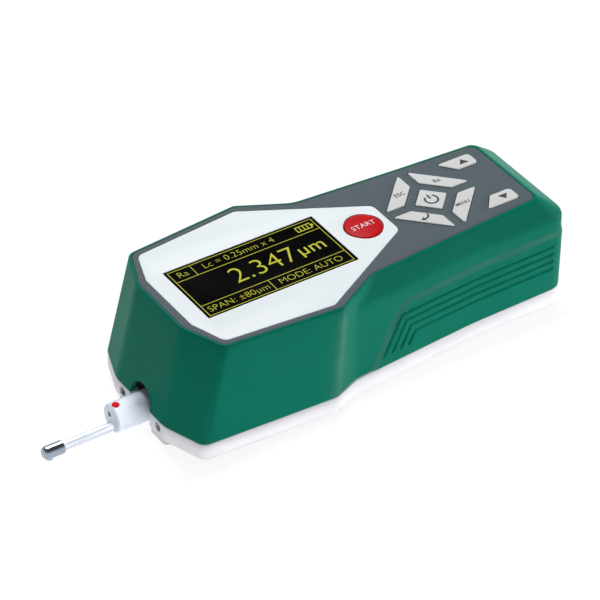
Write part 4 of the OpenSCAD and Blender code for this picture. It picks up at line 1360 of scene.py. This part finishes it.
@dataclass
class LowerTray:
    """White lower moulding with rounded edge, feet, screw recesses and the pickup slot."""

    lines: CaseLines
    edge_r: float = 1.2
    foot_h: float = 2.0
    foot_r: float = 2.0
    foot_edge: float = 0.4
    foot_bite: float = 0.5
    # Front foot: start, end and outer half width; rear foot: both counted from the rear, and both half widths
    front_foot: tuple[float, float, float] = (0.5, 20.0, 15.5)
    rear_foot: tuple[float, float, float, float] = (31.0, 17.0, 9.0, 19.0)
    floor_t: float = 1.6
    slot_half: float = 6.1
    slot_end: float = 26.6
    slot_edge_r: float = 0.6
    thread_r: float = 1.8
    thread_spacing: float = 22.4
    thread_z: float = 5.8
    thread_depth: float = 5.5
    thread_pitch: float = 0.7
    drill_point: float = 0.6
    head_r: float = 2.25
    head_play: float = 0.15
    head_depth: float = 3.55
    shank_r: float = 1.25
    screw_front: float = 22.0
    screw_rear: float = 6.0
    screw_head_in: float = 6.9
    screw_grip_in: float = 5.9
    seam_round: float = 0.25

    def feet(self) -> list[Line]:
        """Lays out the feet of the far side.

        Returns:
            Their corner lists, front foot first.
        """
        length = self.lines.rear - self.lines.front
        r, slot, slot_r = self.foot_r, self.slot_half, self.slot_edge_r
        start, stop, out = self.front_foot
        front = [(start, slot, slot_r), (start, out, r), (stop, out, r), (stop, slot, slot_r)]
        start, stop, near, out = self.rear_foot
        rear = [(length - start, near, r), (length - start, out, r),
                (length - stop, out, r), (length - stop, near, r)]
        return [self.lines.shifted(front), self.lines.shifted(rear)]

    def screws(self) -> list[Row]:
        """Lays out the four case screws.

        Returns:
            Place along and across the case of each.
        """
        front, rear = self.lines.front + self.screw_front, self.lines.rear - self.screw_rear
        wide = self.lines.shoulder_w / 2 - self.screw_head_in
        narrow = self.lines.grip_rear - self.screw_grip_in
        return [(front, wide), (front, -wide), (rear, narrow), (rear, -narrow)]

    def build(self) -> bpy.types.Object:
        """Builds the tray, adds its feet and cuts its openings.

        Returns:
            The tray.
        """
        lines, arc, past, sink, lead = self.lines, HalfOutline.ARC_STEPS, 1.0, 0.1, 1.0
        outline = mirrored(lines.seam_line)
        inner = lines.wall + lines.pad_h
        turn = np.linspace(0, math.pi / 2, 7)
        profile = [(self.edge_r * (1 - math.sin(t)), self.foot_h + self.edge_r * (1 - math.cos(t)))
                   for t in turn]
        profile += round_over(self.seam_round, lines.seam, 4)
        profile += [(inner, lines.seam), (inner, self.foot_h + self.floor_t)]
        rings = [at_level(rounded(offset_line(outline, -inset), arc), height) for inset, height in profile]
        tray = lofted("base_shell", rings, tube=False)
        # Underside with a round edge in three points, and sides that reach into the tray's floor
        soft = self.foot_edge
        middle = 0.3 * soft
        rows = [(soft, 0.0), (middle, middle), (0.0, soft), (0.0, self.foot_h + self.foot_bite)]
        for line in self.feet():
            for side in (line, line[::-1] * (1, -1, 1)):
                joined(tray, moulded("foot", side, [], rows), Join.ADD)
        joined(tray, self.slot_tool(), Join.CUT)
        recess = [(0.0, -past), (self.head_r, -past), (self.head_r, self.head_depth),
                  (self.shank_r, self.head_depth), (self.shank_r, lines.seam + past),
                  (0.0, lines.seam + past)]
        for x, y in self.screws():
            joined(tray, revolved("recess", recess, (x, y, 0), Axis.UP, steps=48), Join.CUT)
        # Countersunk mouth, bore and pointed end
        hole = [(0.0, -past), (self.thread_r + lead + sink, -past), (self.thread_r, sink),
                (self.thread_r, self.thread_depth), (0.0, self.thread_depth + self.drill_point)]
        for side in (-1, 1):
            joined(tray, revolved("thread", hole, self.hole_place(side), Axis.ALONG, steps=40), Join.CUT)
        return tray

    def hole_place(self, side: int) -> tuple[float, float, float]:
        """Returns the middle of a threaded hole's mouth, on the far side (1) or the near side (-1)."""
        return self.lines.front, side * self.thread_spacing / 2, self.thread_z

    def slot_tool(self) -> bpy.types.Object:
        """Makes the solid that cuts the pickup's way out of front and floor.

        Returns:
            The tool.
        """
        ahead, past, half, sharp, r = 3, 1, self.slot_half, 0.1, 1.0
        start, stop = self.lines.front - ahead, self.lines.front + self.slot_end
        line = np.array([(start, half, sharp), (stop, half, r), (stop, -half, r), (start, -half, sharp)])
        return moulded("slot_tool", line, [], [(0.0, -past), (0.0, self.lines.seam + past)])

    def screw(self, x: float, y: float) -> bpy.types.Object:
        """Makes a case screw whose head has a cross recess.

        Args:
            x: Place along the case.
            y: Place across it.

        Returns:
            The screw.
        """
        low, high = level("base_screws", End.LOW), level("base_screws", End.HIGH)
        seat, shank, head = self.head_depth, self.shank_r, self.head_r - self.head_play
        tip_len, tip_r = 0.8, 0.5
        # Flat head with a round edge in three points
        crown = [(0.0, low), (head - 0.5, low), (head - 0.15, low + 0.12), (head, low + 0.4)]
        profile = crown + [(head, seat), (shank, seat), (shank, high - tip_len), (tip_r, high), (0.0, high)]
        made = revolved("screw", profile, (x, y, 0), Axis.UP, steps=32)
        reach, half, r = 1.2, 0.3, 0.05
        # The cross narrows towards its floor
        depth = [(-0.05, low - 0.1), (0.12, low + 0.8)]
        for turns in (0, 1):
            line = turned(rectangle(-reach, reach, -half, half, r), turns) + (x, y, 0)
            joined(made, moulded("blade", line, [], depth, steps=2), Join.CUT)
        return made

    def bush(self, side: int) -> bpy.types.Object:
        """Makes a threaded bush for one of the two front holes.

        Args:
            side: 1 for the far side, -1 for the near side.

        Returns:
            The bush.
        """
        fit, root_in, crest_in, sunk, first, last, facets = 0.04, 0.2, 0.5, 0.3, 0.2, 0.5, 40
        outer, root, crest = self.thread_r - fit, self.thread_r - root_in, self.thread_r - crest_in
        start, stop = sunk, self.thread_depth - sunk
        turns = np.arange(stop - first, start + last, -self.thread_pitch / 2)
        profile = [(root, start), (outer, start), (outer, stop), (crest, stop)]
        profile += [(root if k % 2 else crest, float(along)) for k, along in enumerate(turns)]
        angles = np.linspace(0, 2 * math.pi, facets, endpoint=False)
        middle = np.array(self.hole_place(side))
        rings = [middle + np.stack([np.full(facets, along), r * np.cos(angles), r * np.sin(angles)], axis=1)
                 for r, along in profile]
        return lofted("bush", rings, tube=True)

    def dress(self, finishes: Finishes) -> None:
        """Builds tray, bushes and screws and gives them their finish.

        Args:
            finishes: Finishes of the part.
        """
        fitted(self.build(), finishes.base, Body.HOUSING, Slot.BASE, "base_tray")
        bushes = merged("thread_bushes", [self.bush(1), self.bush(-1)])
        fitted(bushes, finishes.tapped, Body.HOUSING, Slot.STEEL)
        screws = merged("case_screws", [self.screw(x, y) for x, y in self.screws()])
        fitted(screws, finishes.plated, Body.HOUSING, Slot.STEEL, "base_screws")


@dataclass
class KeyShape:
    """One key: the body that it moves with and its outline."""

    body: Body
    line: Line

    def middle(self) -> tuple[float, float]:
        """Returns the middle of the key's corners."""
        return tuple(self.line[:, :2].mean(axis=0))


@dataclass
class Keypad:
    """Start button and seven keys with their printed signs."""

    lines: CaseLines
    diamond_out: float = 19.5
    diamond_in: float = 11.8
    power_half: float = 6.7
    key_spacing: float = 3.8
    arrow_len: float = 13.6
    arrow_w: float = 6.2
    arrow_out: float = 15.4
    arrow_slant: float = 0.82
    arrow_end_r: float = 1.0
    corner_r: float = 0.5
    edge: float = 0.3
    flange_w: float = 1.2
    flange_t: float = 1.0
    flange_gap: float = 0.3
    start_r: float = 6.7
    start_crown: float = 0.3
    start_edge: float = 0.45
    ink: float = 0.025
    word_bold: float = 0.018
    start_word: float = 2.35
    start_bold: float = -0.005
    power_r: float = 2.35
    power_open: float = 38.0
    power_w: float = 0.75
    power_drop: float = 0.2
    power_bar: Row = (0.3, 2.75)
    hook_r: float = 1.8
    hook_w: float = 0.7
    arrow_half: float = 1.95
    arrow_right: float = 0.9
    diamond_x: float = field(init=False)
    start_x: float = field(init=False)
    top: float = field(init=False)
    flange: float = field(init=False)

    def __post_init__(self) -> None:
        """Takes the places of the keys from the frame."""
        low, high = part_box("key_power")
        self.diamond_x = (low.x + high.x) / 2 / MM
        low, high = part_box("start_button")
        self.start_x = (low.x + high.x) / 2 / MM
        self.top = level("key_power", End.HIGH)
        self.flange = level("face_plate", End.LOW) - self.lines.deck_t - self.flange_gap - self.flange_t

    def keys(self) -> list[KeyShape]:
        """Lays out the seven keys.

        Returns:
            The keys with their corner lists.
        """
        gap, r = self.key_spacing / 2, self.corner_r
        outer, inner = self.diamond_out - gap, self.diamond_in - gap
        diamond = np.array([(gap, outer, r), (outer, gap, r), (inner, gap, r), (gap, inner, r)])
        power = np.array([(0, 1, 0), (1, 0, 0), (0, -1, 0), (-1, 0, 0)]) * self.power_half + (0, 0, r)
        near, end_r = self.arrow_out - self.arrow_w, r + self.arrow_end_r
        arrow = np.array([(0, self.arrow_out, r), (self.arrow_len, self.arrow_out, end_r),
                          (self.arrow_len, near, end_r), (self.arrow_slant * self.arrow_w, near, r)])
        middle = (self.diamond_x, 0, 0)
        start = (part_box("key_up")[1].x / MM - self.flange_w - self.arrow_len, 0, 0)
        quarters = (Body.PARAMETER, Body.ESCAPE, Body.ENTER, Body.MENU)
        return [KeyShape(body, turned(diamond, k) + middle) for k, body in enumerate(quarters)] + [
            KeyShape(Body.POWER, power + middle),
            KeyShape(Body.UP, arrow + start),
            KeyShape(Body.DOWN, arrow[::-1] * (1, -1, 1) + start)]

    def rows(self) -> list[Row]:
        """Lays out the rings of a cap: flange, upright sides and a rounded upper edge.

        Returns:
            Inset and height of each ring.
        """
        under = self.flange + self.flange_t
        sides = [(-self.flange_w, self.flange), (-self.flange_w, under), (0.0, under)]
        return sides + round_over(self.edge, self.top, 6)

    def dome(self, radius: float) -> float:
        """Returns the height of the start button's crown at a distance from its middle."""
        return self.top - self.start_crown * (radius / self.start_r) ** 2

    def start_button(self) -> bpy.types.Object:
        """Makes the round button with its crown and flange.

        Returns:
            The button.
        """
        r, edge = self.start_r, self.start_edge
        wide, under = r + self.flange_w, self.flange + self.flange_t
        rim, edge_turn = self.top - self.start_crown, math.radians(80)
        profile = [(0.0, self.flange), (wide, self.flange), (wide, under), (r, under)]
        profile += [(r - edge + edge * math.cos(t), rim - edge + edge * math.sin(t))
                    for t in np.linspace(0, edge_turn, 6)]
        profile += [(radius, self.dome(radius)) for radius in np.linspace(r - 2 * edge, 0, 9)]
        return revolved("cap_start", profile, (self.start_x, 0, 0), Axis.UP, steps=96)

    def power_sign(self) -> bpy.types.Object:
        """Makes the open ring with a bar.

        Returns:
            The sign.
        """
        x, low, high = self.diamond_x, self.top, self.top + self.ink
        turn = np.radians(np.linspace(90 + self.power_open, 360 + 90 - self.power_open, 33))
        ring = [(x + self.power_r * math.cos(a), self.power_r * math.sin(a) - self.power_drop) for a in turn]
        return merged("sign_power", [
            stroke("arc", ring, self.power_w, low, high, closed=False),
            stroke("bar", [(x, y) for y in self.power_bar], self.power_w, low, high, closed=False)])

    def enter_sign(self, key: KeyShape) -> bpy.types.Object:
        """Makes the hooked arrow of the return sign.

        Args:
            key: The key that carries it.

        Returns:
            The sign.
        """
        low, high, sharp = self.top, self.top + self.ink, 0.05
        x, y = key.middle()
        turn = np.radians(np.linspace(10, -90, 13))
        hook = [(x - 0.2 + self.hook_r * math.cos(a), y + 1.3 + self.hook_r * math.sin(a)) for a in turn]
        hook.append((x - 0.7, y - 0.5))
        tip = np.array([(x - 2.2, y - 0.5, sharp), (x - 0.6, y + 0.65, sharp), (x - 0.6, y - 1.65, sharp)])
        return merged("sign_enter", [
            stroke("hook", hook, self.hook_w, low, high, closed=False),
            moulded("tip", tip, [], [(0.0, low), (0.0, high)], steps=2)])

    def arrow_sign(self, key: KeyShape, side: int) -> bpy.types.Object:
        """Makes a plain triangle that points away from the middle line.

        Args:
            key: The key that carries it.
            side: 1 for the far side, -1 for the near side.

        Returns:
            The sign.
        """
        sharp, back, tip = 0.05, 1.2 * side, 1.5 * side
        x, y = key.middle()
        x += self.arrow_right
        line = np.array([(x - self.arrow_half, y - back, sharp), (x, y + tip, sharp),
                         (x + self.arrow_half, y - back, sharp)])
        rows = [(0.0, self.top), (0.0, self.top + self.ink)]
        return moulded("sign_" + key.body.value, line if side > 0 else line[::-1], [], rows, steps=2)

    def signs(self, keys: dict[Body, KeyShape], finishes: Finishes) -> None:
        """Prints the signs of all keys.

        Args:
            keys: The keys by their body.
            finishes: Finishes of the part.
        """
        printed = ((Body.ESCAPE, "ESC", 1.9), (Body.PARAMETER, "Ra", 1.9), (Body.MENU, "MENU", 1.55))
        for body, words, height in printed:
            place = (*keys[body].middle(), self.top)
            word = lettering("sign_" + body.value, words, height, place, self.ink, self.word_bold)
            fitted(word, finishes.dark_ink, body, Slot.INK)
        fitted(self.power_sign(), finishes.dark_ink, Body.POWER, Slot.INK)
        fitted(self.enter_sign(keys[Body.ENTER]), finishes.dark_ink, Body.ENTER, Slot.INK)
        for body, side in ((Body.UP, 1), (Body.DOWN, -1)):
            fitted(self.arrow_sign(keys[body], side), finishes.dark_ink, body, Slot.INK)

    def dress(self, finishes: Finishes) -> None:
        """Builds button and keys and gives them their finish and signs.

        Args:
            finishes: Finishes of the part.
        """
        keys = {key.body: key for key in self.keys()}
        for body, key in keys.items():
            cap = moulded("cap_" + body.value, key.line, [], self.rows())
            fitted(cap, finishes.key, body, Slot.KEY, "key_" + body.value)
        fitted(self.start_button(), finishes.start, Body.START, Slot.START, "start_button")
        word = lettering("sign_start", "START", self.start_word, (self.start_x, 0, 0), self.ink,
                         self.start_bold)
        # The word follows the button's crown
        for vertex in word.data.vertices:
            radius = math.hypot(vertex.co.x / MM - self.start_x, vertex.co.y / MM)
            vertex.co.z += self.dome(radius) * MM
        fitted(word, finishes.white_ink, Body.START, Slot.BEZEL)
        self.signs(keys, finishes)


@dataclass
class FacePanel:
    """Grey face plate, white bezel, display window and what the display shows."""

    lines: CaseLines
    keypad: Keypad
    key_gap: float = 0.2
    fit: float = 0.05
    edge: float = 0.15
    bezel_r: float = 3.0
    bezel_nose_back: float = 4.0
    bezel_nose_in: float = 1.35
    bezel_cheek_back: float = 2.9
    bezel_cheek_in: float = 4.05
    bezel_head_in: float = 3.1
    bezel_end: float = 2.7
    bezel_beside: float = 1.4
    glass_r: float = 0.25
    glass_edge: float = 0.12
    # What the display shows: places are shares of the lit frame, boldness is a share of the height
    frame_inset: float = 1.2
    side_inset: float = 0.8
    line_w: float = 0.26
    top_row: float = 0.22
    bottom_row: float = 0.78
    top_cell: float = 0.15
    bottom_cell: float = 0.46
    small: float = 3.0
    small_bold: float = -0.026
    battery_from: float = 0.13
    battery_to: float = 0.03
    battery_half: float = 1.3
    battery_w: float = 0.4
    battery_cells: int = 4
    pole_len: float = 0.9
    pole_w: float = 1.1
    lift: float = 0.02
    window: list[float] = field(init=False)
    low: float = field(init=False)
    high: float = field(init=False)
    bezel_line: Line = field(init=False)

    def __post_init__(self) -> None:
        """Takes window and levels from the frame and lays out the bezel."""
        low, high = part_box("display_window")
        self.window = [v / MM for v in (low.x, high.x, low.y, high.y, low.z, high.z)]
        self.low, self.high = level("face_plate", End.LOW), level("face_plate", End.HIGH)
        lines, r = self.lines, self.bezel_r
        button, button_r = self.keypad.start_x - lines.front, self.keypad.start_r
        self.bezel_line = lines.shifted([
            (lines.front_lean + self.bezel_nose_back, lines.nose_w / 2 - self.bezel_nose_in, r),
            (lines.cheek_run + lines.front_lean + self.bezel_cheek_back,
             lines.shoulder_w / 2 - self.bezel_cheek_in, r),
            (lines.head_len, lines.head_w / 2 - self.bezel_head_in, r),
            (button + button_r + self.bezel_end, button_r + self.bezel_beside, r)])

    def rows(self) -> list[Row]:
        """Returns the rings of a plate with a rounded upper edge."""
        return [(0.0, self.low)] + round_over(self.edge, self.high, 4)

    def plate(self) -> bpy.types.Object:
        """Makes the face plate with its cut-outs.

        Returns:
            The plate.
        """
        outline = mirrored(offset_half(self.lines.rim_line, -self.lines.rim_w))
        holes = [mirrored(offset_half(self.bezel_line, self.fit))]
        holes += [offset_line(key.line, self.key_gap) + (0, 0, self.key_gap) for key in self.keypad.keys()]
        return moulded("panel_plate", outline, holes, self.rows())

    def bezel(self) -> bpy.types.Object:
        """Makes the bezel with its openings for window and button.

        Returns:
            The bezel.
        """
        glass = rectangle(*self.window[:4], self.glass_r)
        # A square whose corners are rounded so far that it is round; the sides keep a trace of length
        hole_r, almost = self.keypad.start_r + self.key_gap, 0.99999
        reach = hole_r / math.cos(math.pi / 4) * almost
        button = np.array([(-1, 0, 0), (0, 1, 0), (1, 0, 0), (0, -1, 0)]) * reach
        button = button + (self.keypad.start_x, 0, hole_r)
        holes = [offset_line(glass, self.fit), button]
        return moulded("panel_bezel", mirrored(self.bezel_line), holes, self.rows(), steps=16)

    def glass(self) -> bpy.types.Object:
        """Makes the window with its edges broken.

        Returns:
            The window.
        """
        low, high = self.window[4:]
        rows = [(0.0, low), (0.0, high - self.glass_edge), (self.glass_edge, high)]
        return moulded("display_glass", rectangle(*self.window[:4], self.glass_r), [], rows, steps=4)

    def marks(self) -> bpy.types.Object:
        """Makes the lit frame, words and battery sign of the display.

        Returns:
            All of it as one piece.
        """
        inwards = (1, -1, self.side_inset, -self.side_inset)
        x0, x1, y0, y1 = (v + d * self.frame_inset for v, d in zip(self.window[:4], inwards))
        low, high = self.window[5], self.window[5] + self.lift
        wide, tall = x1 - x0, y1 - y0
        upper, lower = y1 - self.top_row * tall, y1 - self.bottom_row * tall
        cell, half = x0 + self.top_cell * wide, x0 + self.bottom_cell * wide
        lines = [
            ([(x0, y0), (x0, y1), (x1, y1), (x1, y0)], True),
            ([(x0, upper), (x1, upper)], False),
            ([(x0, lower), (x1, lower)], False),
            ([(cell, upper), (cell, y1)], False),
            ([(half, y0), (half, lower)], False)]
        made = [stroke("line", path, self.line_w, low, high, closed) for path, closed in lines]
        top_mid, mid, low_mid = (upper + y1) / 2, (upper + lower) / 2, (y0 + lower) / 2
        small, thin = self.small, self.small_bold
        # Words, height, middle along and across, boldness
        words = [
            ("Ra", small, (x0 + cell) / 2, top_mid, thin),
            ("Lc = 0.25mm x 4", small, cell + 0.31 * wide, top_mid, thin),
            ("2.347", 8.5, x0 + 0.52 * wide, mid, -0.02),
            ("µm", 6.0, x0 + 0.85 * wide, mid, 0.0),
            ("SPAN: ±80µm", small, (x0 + half) / 2, low_mid, thin),
            ("MODE: AUTO", small, (half + x1) / 2, low_mid, thin)]
        made += [lettering("word", text, size, (x, y, low), self.lift, bold)
                 for text, size, x, y, bold in words]
        left, right = x1 - self.battery_from * wide, x1 - self.battery_to * wide
        under, over = top_mid - self.battery_half, top_mid + self.battery_half
        box = [(left, under), (left, over), (right, over), (right, under)]
        made.append(stroke("cell", box, self.battery_w, low, high, closed=True))
        step = (right - left) / self.battery_cells
        bars = [left + step * k for k in range(1, self.battery_cells)]
        made += [stroke("bar", [(x, under), (x, over)], self.battery_w, low, high, closed=False)
                 for x in bars]
        pole = [(right, top_mid), (right + self.pole_len, top_mid)]
        made.append(stroke("pole", pole, self.pole_w, low, high, closed=False))
        return merged("display_marks", made)

    def dress(self, finishes: Finishes) -> None:
        """Builds the panel's pieces and gives them their finish.

        Args:
            finishes: Finishes of the part.
        """
        fitted(self.plate(), finishes.plate, Body.HOUSING, Slot.PLATE, "face_plate")
        fitted(self.bezel(), finishes.bezel, Body.HOUSING, Slot.BEZEL, "display_bezel")
        fitted(self.glass(), finishes.window, Body.HOUSING, Slot.WINDOW, "display_window")
        fitted(self.marks(), finishes.pixels, Body.HOUSING, Slot.BEZEL)


@dataclass
class Pickup:
    """Pickup body, stem and nose: exact turned shapes from the frame."""

    def dress(self, finishes: Finishes) -> None:
        """Gives the pickup's nodes their finish.

        Args:
            finishes: Finishes of the part.
        """
        dressed("pickup_body", finishes.satin)
        dressed("pickup_stem", finishes.blasted)
        dressed("skid_nose", finishes.chrome)
        dressed("index_dot", finishes.dot)
        dressed("stylus_arm", finishes.plated)


@dataclass
class InnerWorks:
    """Drive, boards and battery inside the case, kept as the frame gives them."""

    def dress(self, finishes: Finishes) -> None:
        """Gives every inner node its finish.

        Args:
            finishes: Finishes of the part.
        """
        groups = {
            finishes.board: ["key_board", "main_board"],
            finishes.black: ["oled_panel", "key_switches"],
            finishes.sleeve: ["battery_pack"],
            finishes.ivory: ["carriage"],
            finishes.milled: ["drive_frame", "carrier_rod"],
            finishes.plated: ["board_screws", "charge_socket", "guide_rods", "lead_screw", "motor_shaft",
                              "drive_motor", "carriage_screws", "drive_screws"],
            finishes.bronze: ["screw_bushes", "screw_coupling"]}
        for finish, nodes in groups.items():
            for node in nodes:
                dressed(node, finish)


@dataclass(frozen=True)
class Lamp:
    """One soft lamp, or a narrow beam, that faces the part or the floor beside it; in metres."""

    name: str
    towards: tuple[float, float, float]
    distance: float
    size: tuple[float, float]
    share: float
    target: tuple[float, float, float] = (0.02, 0.0, 0.02)
    spread: float = 180.0
    # Spread below which a lamp counts as a beam
    narrow: float = 90.0

    def power(self) -> float:
        """Works out the watts at which a facing white surface shows the wanted share of white.

        Returns:
            The lamp's power.
        """
        # A narrow beam keeps its section, a soft box thins out with distance
        is_beam = self.spread < self.narrow
        section = self.size[0] * self.size[1] if is_beam else math.pi * self.distance ** 2
        return self.share * math.pi * section

    def place(self) -> None:
        """Sets up the lamp."""
        light = bpy.data.lights.new(self.name, "AREA")
        light.shape = "RECTANGLE"
        light.size, light.size_y = self.size
        light.energy = self.power()
        light.spread = math.radians(self.spread)
        lamp = placed(self.name, light)
        back = Vector(self.towards).normalized()
        lamp.location = Vector(self.target) + back * self.distance
        lamp.rotation_euler = back.to_track_quat("Z", "Y").to_euler()


@dataclass
class Studio:
    """Pale floor, soft lamps and the camera; places are in metres."""

    azimuth: float = -34.331
    elevation: float = 37.789
    roll: float = 1.0
    camera_place: tuple[float, float, float] = (-0.51045, -0.7523, 0.7316)
    lens: float = 202.0
    sensor: float = 36.0
    clip: tuple[float, float] = (0.01, 20.0)
    floor_reach_mm: float = 3000.0
    floor_drop_mm: float = 0.05
    # Sky: strength at the horizon and overhead, and the heights between which it fades
    horizon: float = 0.24
    zenith: float = 0.1
    fade: tuple[float, float] = (0.05, 0.75)
    # Floor: grey of the paper, and the glow that is mixed in for rays that are seen
    paper: float = 0.85
    glow: float = 1.08
    glow_share: float = 0.83
    lamps: tuple[Lamp, ...] = (
        Lamp("near_right_box", (0.85, -0.5, 0.05), 0.8, (0.5, 0.3), 0.7),
        Lamp("back_top_box", (0.15, 0.48, 0.86), 0.9, (0.5, 0.5), 0.88),
        Lamp("pickup_beam", (-0.05, -0.88, 0.47), 0.6, (0.035, 0.05), 0.75, (-0.083, 0.0, 0.012), 1.5),
        Lamp("base_beam", (-0.25, -0.95, 0.02), 0.5, (0.24, 0.006), 0.55, (0.0, -0.03, 0.004), 1.0),
        Lamp("head_floor_beam", (0.0, 0.0, 1.0), 0.4, (0.17, 0.12), 1.0, (-0.085, -0.097, 0.0), 1.0),
        Lamp("grip_floor_beam", (0.0, 0.0, 1.0), 0.4, (0.13, 0.12), 1.0, (0.065, -0.093, 0.0), 1.0),
        Lamp("front_floor_beam", (0.0, 0.0, 1.0), 0.4, (0.105, 0.097), 0.35, (-0.1175, 0.0115, 0.0), 1.0))

    def camera(self) -> None:
        """Places the camera."""
        az, el, roll = (math.radians(v) for v in (self.azimuth, self.elevation, self.roll))
        back = Vector((math.sin(az) * math.cos(el), -math.cos(az) * math.cos(el), math.sin(el)))
        level_right = Vector((math.cos(az), math.sin(az), 0))
        level_up = back.cross(level_right)
        right = level_right * math.cos(roll) + level_up * math.sin(roll)
        up = level_up * math.cos(roll) - level_right * math.sin(roll)
        data = bpy.data.cameras.new("photo_view")
        data.lens, data.sensor_width = self.lens, self.sensor
        data.clip_start, data.clip_end = self.clip
        eye = placed("photo_view", data)
        turn = Matrix((right, up, back)).transposed().to_4x4()
        eye.matrix_world = Matrix.Translation(self.camera_place) @ turn
        bpy.context.scene.camera = eye

    def floor(self) -> None:
        """Lays a pale floor that shows white and keeps the soft shadow."""
        reach, drop = self.floor_reach_mm, self.floor_drop_mm
        corners = np.array([(-1, -1), (1, -1), (1, 1), (-1, 1)]) * reach
        floor = make_piece("studio_floor", at_level(corners, -drop), [[0, 1, 2, 3]])
        material, tree = new_tree("paper_matt_white")
        seen = self.seen_rays(tree)
        paper = add(tree, "ShaderNodeBsdfDiffuse", None, {"Color": (self.paper, self.paper, self.paper, 1)})
        # With the share of lit paper the open floor comes to one, which is white
        glow = add(tree, "ShaderNodeEmission", None, {"Color": (1, 1, 1, 1), "Strength": self.glow})
        share = add(tree, "ShaderNodeMath", {"operation": "MULTIPLY"}, {0: seen, 1: self.glow_share})
        blend = add(tree, "ShaderNodeMixShader", None,
                    {FACTOR: share.outputs[0], 1: paper.outputs[0], 2: glow.outputs[0]})
        # From below the floor is clear, so that the underside can be looked at
        under = add(tree, "ShaderNodeNewGeometry").outputs["Backfacing"]
        clear = add(tree, "ShaderNodeBsdfTransparent")
        sided = add(tree, "ShaderNodeMixShader", None,
                    {FACTOR: under, 1: blend.outputs[0], 2: clear.outputs[0]})
        add(tree, "ShaderNodeOutputMaterial", None, {"Surface": sided.outputs[0]})
        floor.data.materials.append(material)

    def seen_rays(self, tree: bpy.types.NodeTree) -> bpy.types.NodeSocket:
        """Finds out whether a ray is seen, straight or by way of metal or glass.

        Args:
            tree: Node tree that takes the nodes.

        Returns:
            A socket that is one for camera, glossy and transmission rays.
        """
        path = add(tree, "ShaderNodeLightPath")
        glossy = add(tree, "ShaderNodeMath", {"operation": "MAXIMUM"},
                     {0: path.outputs["Is Camera Ray"], 1: path.outputs["Is Glossy Ray"]})
        every = add(tree, "ShaderNodeMath", {"operation": "MAXIMUM"},
                    {0: glossy.outputs[0], 1: path.outputs["Is Transmission Ray"]})
        return every.outputs[0]

    def world(self) -> None:
        """Sets a dim sky whose horizon shows white to the eye and in reflections."""
        world = bpy.data.worlds.new("soft_sky")
        world.use_nodes = True
        tree = world.node_tree
        tree.nodes.clear()
        where = add(tree, "ShaderNodeTexCoord").outputs["Generated"]
        height = add(tree, "ShaderNodeSeparateXYZ", None, {0: where}).outputs["Z"]
        low = add(tree, "ShaderNodeMapRange", None,
                  {VALUE: self.seen_rays(tree), FROM_LOW: 0.0, FROM_HIGH: 1.0,
                   TO_LOW: self.horizon, TO_HIGH: 1.0})
        soft = add(tree, "ShaderNodeMapRange", {"interpolation_type": "SMOOTHSTEP"},
                   {VALUE: height, FROM_LOW: self.fade[0], FROM_HIGH: self.fade[1],
                    TO_LOW: low.outputs[0], TO_HIGH: self.zenith})
        eye = add(tree, "ShaderNodeLightPath").outputs["Is Camera Ray"]
        strength = add(tree, "ShaderNodeMath", {"operation": "MAXIMUM"}, {0: soft.outputs[0], 1: eye})
        sky = add(tree, "ShaderNodeBackground", None,
                  {"Color": (1, 1, 1, 1), "Strength": strength.outputs[0]})
        add(tree, "ShaderNodeOutputWorld", None, {"Surface": sky.outputs[0]})
        bpy.context.scene.world = world

    def build(self) -> None:
        """Sets up camera, floor, sky and lamps."""
        self.camera()
        self.floor()
        self.world()
        for lamp in self.lamps:
            lamp.place()
        bpy.context.scene.view_settings.view_transform = "Standard"


def main() -> None:
    """Builds every sub-assembly in order and sets up the studio."""
    logging.basicConfig(level=logging.INFO, format="%(name)s: %(message)s")
    finishes = Finishes()
    lines = CaseLines()
    keypad = Keypad(lines)
    for assembly in (UpperHousing(lines), LowerTray(lines), FacePanel(lines, keypad), keypad, Pickup(),
                     InnerWorks()):
        assembly.dress(finishes)
    Studio().build()


if __name__ == "__main__":
    main()
